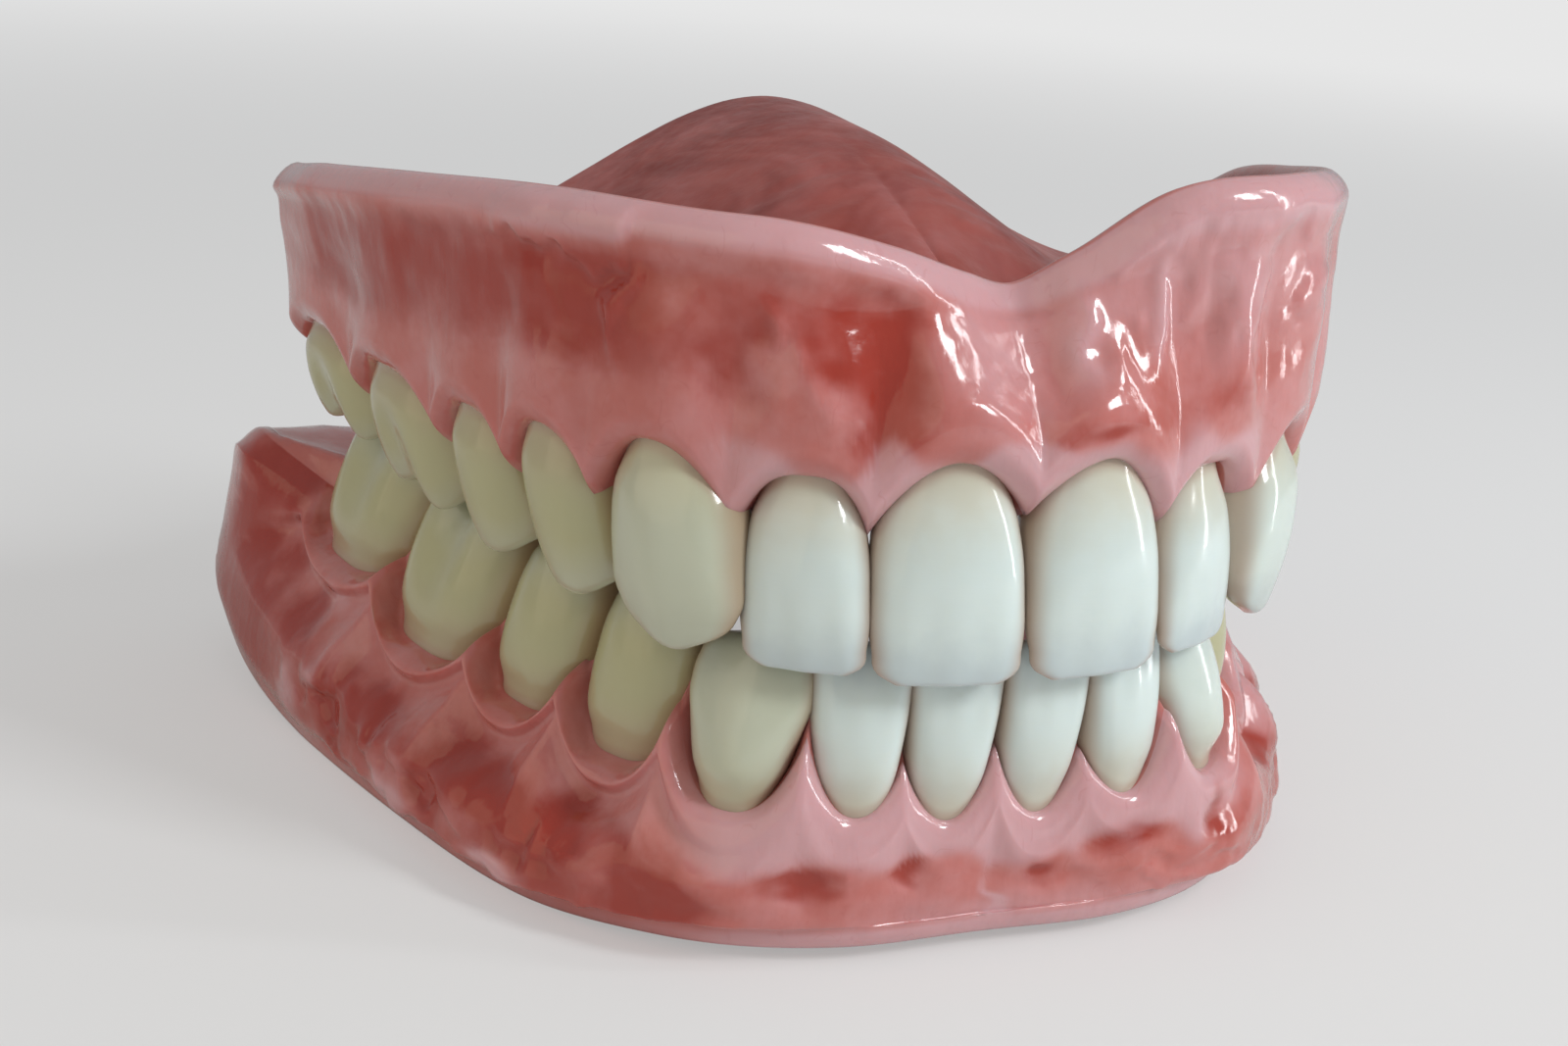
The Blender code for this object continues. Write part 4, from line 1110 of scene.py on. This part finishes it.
def tooth_acrylic(name, edge_colour, body_colour, neck_colour, settings):
    """Layered tooth acrylic: clear greyish edge, opaque body, a warmer neck, canines tinted partly as painted shade,
    sides stained brown and darkened with painted shade, painted shade beside the gum, and fine growth lines.
    """
    finish = Finish(name)
    cloud = finish.noise(TOOTH_CLOUD, 3.0, 0.55)
    neckward = finish.math("ADD", finish.attribute("neckward"), finish.remap(cloud, 0.3, 0.7, -0.05, 0.05))
    # Sides darkened: partly brown stain, partly painted shade between neighbours
    sides = finish.remap(finish.attribute("side_stain_and_shade"), 0.35, 1.0, 0.0, 0.65)
    # Painted shade on the tooth beside the gum line
    shade = finish.remap(finish.attribute("painted_gum_shade"), 0.0, 1.0, 0.0, 0.5)
    colour = finish.mix(finish.remap(neckward, 0.0, 0.34), rgba(edge_colour), rgba(body_colour))
    colour = finish.mix(finish.remap(neckward, 0.5, 1.05), colour, rgba(neck_colour))
    # Canines tinted toward the cheek-tooth colour, partly their own tint and partly painted shade on the wearer's right
    colour = finish.mix(finish.attribute("canine_tint_and_painted_shade"), colour, rgba(settings.cheek_body_colour))
    colour = finish.mix(sides, colour, rgba(settings.side_stain_and_shade_colour))
    colour = finish.mix(shade, colour, rgba(settings.painted_gum_shade_colour))
    lines = finish.noise(1.0, 3.0, 0.6, 0.0, finish.stretched(TOOTH_LINES))
    normal = finish.bump(lines, 0.12, 0.00008)
    return finish.finish(
        Base_Color=colour,
        Roughness=finish.remap(cloud, 0.3, 0.7, 0.12, 0.2),
        Normal=finish.bump(finish.noise(TOOTH_BUMPS, 2.0), 0.22, 0.0002, normal),
        IOR=1.52,
        Subsurface_Weight=0.3,
        Subsurface_Radius=(1.0, 0.85, 0.7),
        Subsurface_Scale=0.0009,
        Coat_Weight=0.3,
        Coat_Roughness=0.05,
    )


def floor_paint(colour):
    """Pale matt floor that shows the camera part of its own plain colour, and more of it far off, like the air."""
    finish = Finish("pale floor")
    finish.finish(Base_Color=rgba(colour), Roughness=0.9, Specular_IOR_Level=0.1)
    plain = finish.node("ShaderNodeEmission", {"Color": rgba(colour), "Strength": 1.0}).outputs[0]
    reach = finish.node("ShaderNodeVectorMath", {0: finish.place}, operation="LENGTH").outputs["Value"]
    share = finish.remap(reach, *FLOOR_FADE, FLOOR_PLAIN, 1.0)
    seen = finish.math("MULTIPLY", finish.node("ShaderNodeLightPath", {}).outputs["Is Camera Ray"], share)
    both = finish.node("ShaderNodeMixShader", {0: seen, 1: finish.shader.outputs[0], 2: plain}).outputs[0]
    finish.tree.links.new(both, finish.tree.nodes["Material Output"].inputs["Surface"])
    return finish.material


def studio_world(colour, seen_colour, strength):
    """Even light from all round, which shows the camera the floor's pale colour."""
    world = bpy.data.worlds.new("soft studio")
    world.use_nodes = True
    tree = world.node_tree
    light = tree.nodes["Background"]
    light.inputs["Color"].default_value = rgba(colour)
    light.inputs["Strength"].default_value = strength
    seen = tree.nodes.new("ShaderNodeBackground")
    seen.inputs["Color"].default_value = rgba(seen_colour)
    mixed = tree.nodes.new("ShaderNodeMixShader")
    tree.links.new(tree.nodes.new("ShaderNodeLightPath").outputs["Is Camera Ray"], mixed.inputs[0])
    tree.links.new(light.outputs[0], mixed.inputs[1])
    tree.links.new(seen.outputs[0], mixed.inputs[2])
    tree.links.new(mixed.outputs[0], tree.nodes["World Output"].inputs["Surface"])
    return world


def colour(name, description, default):
    """Colour property, in linear red, green and blue."""
    return FloatVectorProperty(name=name, description=description, default=default, subtype="COLOR", min=0, max=1)


class GumSettings(PropertyGroup):
    """Colours and relief of the plates"""

    gum_colour: colour("Gum", "Main pink of the plates", (0.54, 0.150, 0.125))
    light_colour: colour("Light gum", "Lighter mottling", (0.60, 0.225, 0.215))
    # Red of the acrylic, also used for painted shade in hollows
    red_and_painted_shade_colour: colour("Hollows", "Red of the hollows", (0.37, 0.033, 0.016))
    # Pale acrylic of rims and margins, also used for painted light on raised places
    pale_and_painted_light_colour: colour("Rim", "Pale pink of rims and margins", (0.66, 0.385, 0.41))
    fitting_colour: colour("Fitting side", "Dull pink of the fitting side", (0.22, 0.030, 0.022))
    relief: FloatProperty(
        name="Relief", description="Height of the waxed relief", default=0.0003, min=0, unit="LENGTH", precision=5
    )


class TeethSettings(PropertyGroup):
    """Colours and spacing of the teeth"""

    front_edge_colour: colour("Front edges", "Clear greyish edges", (0.55, 0.63, 0.64))
    front_body_colour: colour("Front teeth", "Body of the front teeth", (0.70, 0.79, 0.76))
    front_neck_colour: colour("Front necks", "Necks of the front teeth", (0.62, 0.60, 0.48))
    cheek_edge_colour: colour("Cusps", "Cusps of the cheek teeth", (0.52, 0.53, 0.38))
    cheek_body_colour: colour("Cheek teeth", "Body of the cheek teeth", (0.49, 0.475, 0.275))
    cheek_neck_colour: colour("Cheek necks", "Necks of the cheek teeth", (0.50, 0.44, 0.29))
    # Painted shade where the tooth meets the gum
    painted_gum_shade_colour: colour("Gum shade", "Shade beside the gum line", (0.42, 0.25, 0.18))
    # Brown stain and painted shade between two teeth
    side_stain_and_shade_colour: colour("Sides", "Shade between two teeth", (0.40, 0.23, 0.13))
    contact_gap: FloatProperty(
        name="Contact gap", description="Room between two teeth", default=0.00008, min=0, unit="LENGTH", precision=5
    )


class StageSettings(PropertyGroup):
    """Floor and light"""

    floor_colour: colour("Floor", "Colour of the floor", (0.80, 0.80, 0.80))
    floor_radius: FloatProperty(name="Floor radius", description="Reach of the floor", default=6.0, unit="LENGTH")
    sky_colour: colour("Sky", "Colour of the even light", (0.96, 0.98, 1.0))
    sky_strength: FloatProperty(name="Sky strength", description="Strength of the even light", default=0.38, min=0)
    lamp_power: FloatProperty(name="Lamp", description="Strength of the main lamp", default=0.9, min=0, unit="POWER")


# Places on the outside: arc, level from the necks (0) to the border (1), two half sizes and a strength
UPPER_HOLLOWS = (
    (-10.8, 0.66, 3.6, 0.16, 0.9),
    (-8.8, 0.36, 1.7, 0.22, 0.7),
    (-17.2, 0.42, 1.4, 0.2, 0.7),
    (-22.2, 0.55, 0.45, 0.2, -0.9),
    (-33.0, 0.6, 7.0, 0.2, 0.5),
    (-26.3, 0.45, 1.6, 0.14, 0.6),
    (-47.0, 0.5, 4.0, 0.25, 0.6),
    (1.6, 0.45, 1.2, 0.2, 0.4),
    (5.6, 0.55, 2.4, 0.2, 0.9),
    (10.8, 0.5, 1.9, 0.22, 0.8),
    (16.0, 0.48, 1.6, 0.24, 0.7),
    (33.0, 0.58, 8.0, 0.22, 0.4),
    (47.0, 0.5, 4.0, 0.25, 0.4),
)
UPPER_LUMPS = (
    (-13.4, 0.46, 0.45, 0.11, 0.8),
    (-12.5, 0.33, 0.45, 0.11, 0.8),
    (-15.0, 0.62, 0.5, 0.1, 0.6),
    (-6.3, 0.5, 1.2, 0.25, 0.5),
    (3.2, 0.62, 0.7, 0.25, 0.9),
    (8.3, 0.6, 0.7, 0.25, 0.8),
)
UPPER_ROUGH = ((-26.0, 0.68, 4.0, 0.25, 0.4), (9.0, 0.6, 7.0, 0.3, 0.5), (18.0, 0.5, 6.0, 0.34, 0.5))
# Red patches at the hollows: partly the acrylic's darker red, partly painted shade of the hollows
UPPER_DEEP = (
    (-12.0, 0.63, 4.6, 0.2, 0.62),
    (-9.4, 0.4, 2.5, 0.3, 0.6),
    (-8.4, 0.12, 2.0, 0.18, 0.5),
    (-17.2, 0.42, 2.0, 0.2, 0.45),
    (-24.0, 0.5, 3.0, 0.24, 0.4),
    (-33.0, 0.62, 9.0, 0.22, 0.55),
    (-46.0, 0.45, 5.0, 0.3, 0.5),
    (1.5, 0.42, 1.1, 0.3, 0.45),
    (3.5, 0.17, 3.2, 0.07, 0.8),
    (7.5, 0.26, 1.6, 0.1, 0.5),
    (12.5, 0.24, 2.4, 0.14, 0.55),
    (33.0, 0.64, 9.0, 0.2, 0.6),
    (46.0, 0.45, 5.0, 0.3, 0.6),
)
# Pale patches: partly paler acrylic, partly painted light on the lit left flank
UPPER_PALE = (
    (-3.0, 0.62, 3.6, 0.45, 0.7),
    (5.0, 0.7, 4.5, 0.34, 0.5),
    (13.0, 0.7, 5.0, 0.36, 0.6),
    (22.0, 0.6, 6.0, 0.4, 0.4),
    (-14.0, 0.25, 2.0, 0.2, 0.15),
)
# Pale patches: the paler front border, and painted light on lit lumps
LOWER_PALE = (
    (-49.0, 0.66, 2.0, 0.2, 0.5),
    (-36.5, 0.72, 2.4, 0.12, 0.4),
    (-26.6, 0.72, 2.6, 0.12, 0.4),
    (0.2, 0.7, 0.5, 0.3, 0.6),
    (1.0, 0.84, 13.0, 0.26, 0.65),
)
LOWER_HOLLOWS = (
    (-10.3, 0.44, 2.2, 0.16, 0.6),
    (-4.6, 0.4, 1.3, 0.14, 0.4),
    (3.3, 0.48, 1.5, 0.14, 0.5),
    (8.4, 0.3, 1.8, 0.15, 0.6),
    (-16.0, 0.68, 2.6, 0.16, 0.4),
    (-23.4, 0.45, 0.6, 0.2, 0.9),
    (-24.8, 0.5, 0.45, 0.16, 0.7),
    (-28.0, 0.36, 2.4, 0.16, 0.8),
    (-32.5, 0.45, 1.0, 0.24, 0.8),
    (-39.5, 0.4, 2.4, 0.12, 0.7),
    (-43.5, 0.5, 1.6, 0.2, 0.6),
    (-50.5, 0.28, 1.6, 0.14, 0.7),
    (14.5, 0.3, 1.6, 0.2, 0.6),
    (24.0, 0.5, 2.0, 0.18, 0.8),
    (33.0, 0.45, 2.0, 0.2, 0.8),
    (42.0, 0.45, 2.6, 0.16, 0.8),
    (51.0, 0.35, 2.0, 0.16, 0.7),
)
LOWER_LUMPS = (
    (-49.3, 0.68, 1.5, 0.26, 1.1),
    (-49.0, 0.12, 1.5, 0.08, 0.7),
    (-46.3, 0.42, 1.5, 0.12, 0.9),
    (-41.5, 0.72, 1.6, 0.12, 0.6),
    (-36.5, 0.74, 2.6, 0.13, 1.2),
    (-34.3, 0.5, 1.3, 0.1, 0.8),
    (-26.6, 0.72, 2.8, 0.12, 1.2),
    (-21.6, 0.62, 0.7, 0.24, 0.8),
    (-19.2, 0.55, 2.2, 0.2, 0.15),
    (6.0, 0.4, 0.8, 0.14, 0.6),
    (12.3, 0.42, 0.9, 0.16, 0.6),
    (20.0, 0.6, 1.6, 0.2, 0.7),
    (28.5, 0.7, 2.6, 0.14, 1.0),
    (37.5, 0.66, 2.4, 0.16, 1.0),
    (46.5, 0.6, 1.8, 0.22, 0.9),
)
LOWER_ROUGH = ((-38.0, 0.56, 13.0, 0.3, 1.0), (38.0, 0.56, 13.0, 0.3, 1.0), (12.0, 0.55, 5.0, 0.3, 0.4))
LOWER_FULLNESS = ((27.0, 0.12, 9.0, 0.32, 1.1),)
# Red patches at the hollows: partly the acrylic's darker red, partly painted shade of the hollows
LOWER_DEEP = (
    (-10.3, 0.42, 2.2, 0.15, 1.1),
    (-4.6, 0.38, 1.0, 0.15, 0.8),
    (3.3, 0.46, 1.3, 0.11, 1.0),
    (8.4, 0.27, 1.6, 0.15, 1.0),
    (14.2, 0.26, 1.4, 0.2, 0.9),
    (-17.2, 0.62, 2.2, 0.16, 0.9),
    (-20.2, 0.36, 2.4, 0.26, 0.5),
    (-23.8, 0.45, 1.2, 0.2, 0.8),
    (-28.0, 0.36, 2.6, 0.18, 1.1),
    (-32.5, 0.42, 1.4, 0.26, 0.9),
    (-39.5, 0.38, 2.8, 0.14, 0.9),
    (-43.5, 0.52, 1.8, 0.24, 0.7),
    (-50.5, 0.26, 2.0, 0.16, 0.8),
    (-60.5, 0.1, 6.0, 0.8, 1.3),
    (24.0, 0.45, 2.4, 0.18, 1.0),
    (33.0, 0.42, 2.4, 0.22, 0.9),
    (42.0, 0.4, 3.0, 0.16, 0.9),
    (51.0, 0.3, 2.4, 0.16, 0.8),
    (60.5, 0.1, 6.0, 0.8, 1.3),
)


def upper_tone_and_side_light(grid):
    """Red of the upper plate between necks and border, in part its own: redder on the right cheek as painted shade of
    the dimmer side, and least on the left as painted light of the lit side.
    """
    return 0.15 + 0.35 * soft_step(-grid.arc, 12.0, 24.0) - 0.2 * soft_step(grid.arc, -4.0, 2.0)


def lower_tone(grid):
    """Red of the lower plate between necks and border: little at the front, deeper on both cheeks."""
    return 0.05 + 0.45 * soft_step(grid.reach, 13.0, 18.0)


# What sets the two plates apart: drawn rows, tables of places, and strengths of the red, the painted shade in carved
# parts, the pale and the painted light on raised parts
UPPER_LOOK = SimpleNamespace(
    counts=UPPER_COUNTS,
    closed=False,
    margin_row=22,
    crest_row=13,
    fitting_start=(-2.0, -1.0),
    fitting_end=(12.0, 13.0),
    seed=11,
    hollows=UPPER_HOLLOWS,
    lumps=UPPER_LUMPS,
    rough=UPPER_ROUGH,
    own_relief=palate_relief,
    sheet=0.4,
    tone=upper_tone_and_side_light,
    red_and_painted_shade=UPPER_DEEP,
    carved_painted_shade=0.35,
    pale=UPPER_PALE,
    pale_margin=(-0.02, 0.2),
    rim_loss=0.0,
    raised_painted_light=0.0,
)
LOWER_LOOK = SimpleNamespace(
    counts=LOWER_COUNTS,
    closed=True,
    margin_row=2,
    crest_row=11,
    fitting_start=(12.0, 13.0),
    fitting_end=(16.0, 17.0),
    seed=47,
    hollows=LOWER_HOLLOWS,
    lumps=LOWER_LUMPS,
    rough=LOWER_ROUGH,
    own_relief=cheek_fullness,
    sheet=0.0,
    tone=lower_tone,
    red_and_painted_shade=LOWER_DEEP,
    carved_painted_shade=0.7,
    pale=LOWER_PALE,
    pale_margin=(0.16, 0.46),
    rim_loss=0.6,
    raised_painted_light=1.2,
)


def plate_finish(grid, look, relief, sheet):
    """Values for the finish of a plate.

    The red is the tone, the patches and painted shade where the relief carves; part of the tone and the patches is
    painted shade too. Pale is the paler acrylic of the margin and the rim, with painted light on the lumps, the raised
    wax and some patches, less a share of the red. Fitting is 1 on the side that meets the mouth.
    """
    level, reach, outside = grid.level, grid.reach, grid.outside
    # Painted shade: carved hollows of the relief coloured red
    carved = np.clip(-relief, 0, CARVED_SHADE_MOST) * outside
    mottle = MOTTLE_MEAN + outside_noise(grid.arc, level, look.seed, MOTTLE)
    tone = look.tone(grid) * soft_step(level, *TONE_START) * fade(level, *TONE_END)
    # Red of the tone and patches, partly painted shade, plus the painted shade of the carving
    red_and_painted_shade = np.clip(tone + patches(*grid.uneven, look.red_and_painted_shade) * mottle + look.carved_painted_shade * carved, 0, 1) * outside

    # Painted light: pale where the relief stands out
    raised = np.clip(relief - RAISED_FROM, 0, RAISED_MOST) * outside * soft_step(reach, *RAISED_ARCS)
    edge = level + outside_noise(grid.arc, level, look.seed, MARGIN_WANDER)
    margin = fade(edge, *look.pale_margin) * (1 - MARGIN_LOSS * soft_step(reach, *MARGIN_ARCS))
    rim = soft_step(level, *RIM_LEVELS) * (1 - look.rim_loss * soft_step(reach, *RIM_ARCS))
    # Pale on the lumps is painted light; pale patches are partly paler acrylic, partly painted light
    spots = LUMP_PAINTED_LIGHT * patches(*grid.uneven, look.lumps) + patches(*grid.uneven, look.pale)
    # The raised sheet of wax is painted pale as light on it
    pale = np.maximum(margin, rim) + np.clip(spots, 0, 1) + look.raised_painted_light * raised + sheet
    pale = np.clip(pale - DEEP_OVER_PALE * red_and_painted_shade, 0, 1) * outside * fade(reach, *PALE_END)
    fitting = soft_step(grid.place, *look.fitting_start) * fade(grid.place, *look.fitting_end)
    return {"red_and_painted_shade": red_and_painted_shade, "pale": pale, "fitting": fitting + 0 * reach}


def add_plate(name, row, look, arc, points, settings):
    """One plate in place of its CAD node: its grid pushed out by the relief, with the values for its finish."""
    grid = PlateGrid(row, look, arc, points)
    sheet = look.sheet * wax_sheet(grid)
    relief = waxed_relief(grid, look, settings.relief / MM)
    relief = relief + sheet * fade(grid.down, *SHEET_CREST) + look.own_relief(grid)
    points = push_out(points, relief, grid.outer_row)
    material = bpy.data.materials.get("gum acrylic") or gum_acrylic(settings)
    made = add_surface(name, points, material, plate_finish(grid, look, relief, sheet), closed_rows=look.closed)
    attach(made, "root")
    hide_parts(f"{row.jaw}_base")


def add_teeth(kinds, material, edge_round, gap):
    """The teeth of the given kinds, in both jaws and on both sides, each in place of its CAD node."""
    for row in (UPPER, LOWER):
        for side, side_name in ((-1, "right"), (1, "left")):
            for kind in kinds:
                tooth = KINDS.index(kind)
                points, values = tooth_surface(row, tooth, side, gap, edge_round)
                node = f"{row.jaw}_{side_name}_{kind}"
                made = add_surface(node.replace("_", "-"), points, material, values, closed_columns=True)
                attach(made, "root")
                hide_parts(node)


def add_lamp(name, place, aim, size, power, colour):
    """Rectangular soft lamp that faces its aim."""
    data = bpy.data.lights.new(name, "AREA")
    data.shape = "RECTANGLE"
    data.size, data.size_y = size
    data.energy = power
    data.color = colour
    lamp = bpy.data.objects.new(name, data)
    lamp.location = place
    lamp.rotation_euler = (Vector(aim) - Vector(place)).to_track_quat("-Z", "Y").to_euler()
    bpy.context.scene.collection.objects.link(lamp)


def add_camera():
    """Camera where the photograph was taken from, turned, tilted and rolled in that order."""
    data = bpy.data.cameras.new("camera")
    data.lens = CAMERA_LENS
    data.sensor_width = SENSOR_WIDTH
    data.sensor_fit = "HORIZONTAL"
    data.clip_start = CLIP_START
    camera = bpy.data.objects.new("camera", data)
    turn = Matrix.Rotation(math.radians(CAMERA_AZIMUTH), 4, "Z")
    tilt = Matrix.Rotation(math.radians(90 - CAMERA_ELEVATION), 4, "X")
    roll = Matrix.Rotation(math.radians(CAMERA_ROLL), 4, "Z")
    camera.matrix_world = Matrix.Translation(to_cad(np.array(CAMERA_PLACE))) @ turn @ tilt @ roll
    bpy.context.scene.collection.objects.link(camera)
    bpy.context.scene.camera = camera


class DENTURE_OT_upper_gum(Operator):
    """Build the upper plate with its palate"""

    bl_idname = "denture.upper_gum"
    bl_label = "Upper gum"

    def execute(self, context):
        add_plate("upper-gum", UPPER, UPPER_LOOK, *both_sides(upper_sections), context.scene.denture_gum)
        return {"FINISHED"}


class DENTURE_OT_lower_gum(Operator):
    """Build the lower plate, which stands on its border"""

    bl_idname = "denture.lower_gum"
    bl_label = "Lower gum"

    def execute(self, context):
        arc, points = both_sides(lower_sections)
        points[..., 2] = np.maximum(points[..., 2], DRAWING_ORIGIN[2])
        add_plate("lower-gum", LOWER, LOWER_LOOK, arc, points, context.scene.denture_gum)
        return {"FINISHED"}


class DENTURE_OT_front_teeth(Operator):
    """Build the incisors and canines"""

    bl_idname = "denture.front_teeth"
    bl_label = "Front teeth"

    def execute(self, context):
        settings = context.scene.denture_teeth
        colours = (settings.front_edge_colour, settings.front_body_colour, settings.front_neck_colour)
        material = tooth_acrylic("front tooth acrylic", *colours, settings)
        add_teeth(KINDS[:FRONT_TEETH], material, FRONT_EDGE_ROUND, settings.contact_gap / MM)
        return {"FINISHED"}


class DENTURE_OT_cheek_teeth(Operator):
    """Build the premolars and molars"""

    bl_idname = "denture.cheek_teeth"
    bl_label = "Cheek teeth"

    def execute(self, context):
        settings = context.scene.denture_teeth
        colours = (settings.cheek_edge_colour, settings.cheek_body_colour, settings.cheek_neck_colour)
        material = tooth_acrylic("cheek tooth acrylic", *colours, settings)
        add_teeth(KINDS[FRONT_TEETH:], material, CHEEK_EDGE_ROUND, settings.contact_gap / MM)
        return {"FINISHED"}


class DENTURE_OT_stage(Operator):
    """Set up the floor, the soft lamps and the camera"""

    bl_idname = "denture.stage"
    bl_label = "Stage"

    def execute(self, context):
        settings = context.scene.denture_stage
        radius = settings.floor_radius
        corners = [(-radius, -radius, 0), (radius, -radius, 0), (radius, radius, 0), (-radius, radius, 0)]
        data = bpy.data.meshes.new("floor")
        data.from_pydata(corners, [], [(0, 1, 2, 3)])
        data.materials.append(floor_paint(settings.floor_colour))
        floor = bpy.data.objects.new("floor", data)
        context.scene.collection.objects.link(floor)

        context.scene.world = studio_world(settings.sky_colour, settings.floor_colour, settings.sky_strength)
        for name, place, size, share, lamp_colour in LAMPS:
            add_lamp(name, place, LAMP_AIM, size, share * settings.lamp_power, lamp_colour)
        add_camera()
        context.scene.view_settings.view_transform = "Standard"
        return {"FINISHED"}


class DENTURE_PT_panel(Panel):
    """Sizes, colours and steps of the full denture"""

    bl_idname = "DENTURE_PT_panel"
    bl_label = "Full denture"
    bl_space_type = "VIEW_3D"
    bl_region_type = "UI"
    bl_category = "Denture"

    def draw(self, context):
        groups = (
            (context.scene.denture_gum, (DENTURE_OT_upper_gum, DENTURE_OT_lower_gum)),
            (context.scene.denture_teeth, (DENTURE_OT_front_teeth, DENTURE_OT_cheek_teeth)),
            (context.scene.denture_stage, (DENTURE_OT_stage,)),
        )
        for settings, operators in groups:
            box = self.layout.box()
            for name in type(settings).__annotations__:
                box.prop(settings, name)
            for operator in operators:
                box.operator(operator.bl_idname)


CLASSES = (
    GumSettings,
    TeethSettings,
    StageSettings,
    DENTURE_OT_upper_gum,
    DENTURE_OT_lower_gum,
    DENTURE_OT_front_teeth,
    DENTURE_OT_cheek_teeth,
    DENTURE_OT_stage,
    DENTURE_PT_panel,
)


def register():
    for cls in CLASSES:
        bpy.utils.register_class(cls)
    bpy.types.Scene.denture_gum = PointerProperty(type=GumSettings)
    bpy.types.Scene.denture_teeth = PointerProperty(type=TeethSettings)
    bpy.types.Scene.denture_stage = PointerProperty(type=StageSettings)


def unregister():
    del bpy.types.Scene.denture_stage
    del bpy.types.Scene.denture_teeth
    del bpy.types.Scene.denture_gum
    for cls in reversed(CLASSES):
        bpy.utils.unregister_class(cls)


def main():
    register()
    bpy.ops.denture.upper_gum()
    bpy.ops.denture.lower_gum()
    bpy.ops.denture.front_teeth()
    bpy.ops.denture.cheek_teeth()
    bpy.ops.denture.stage()


if __name__ == "__main__":
    main()
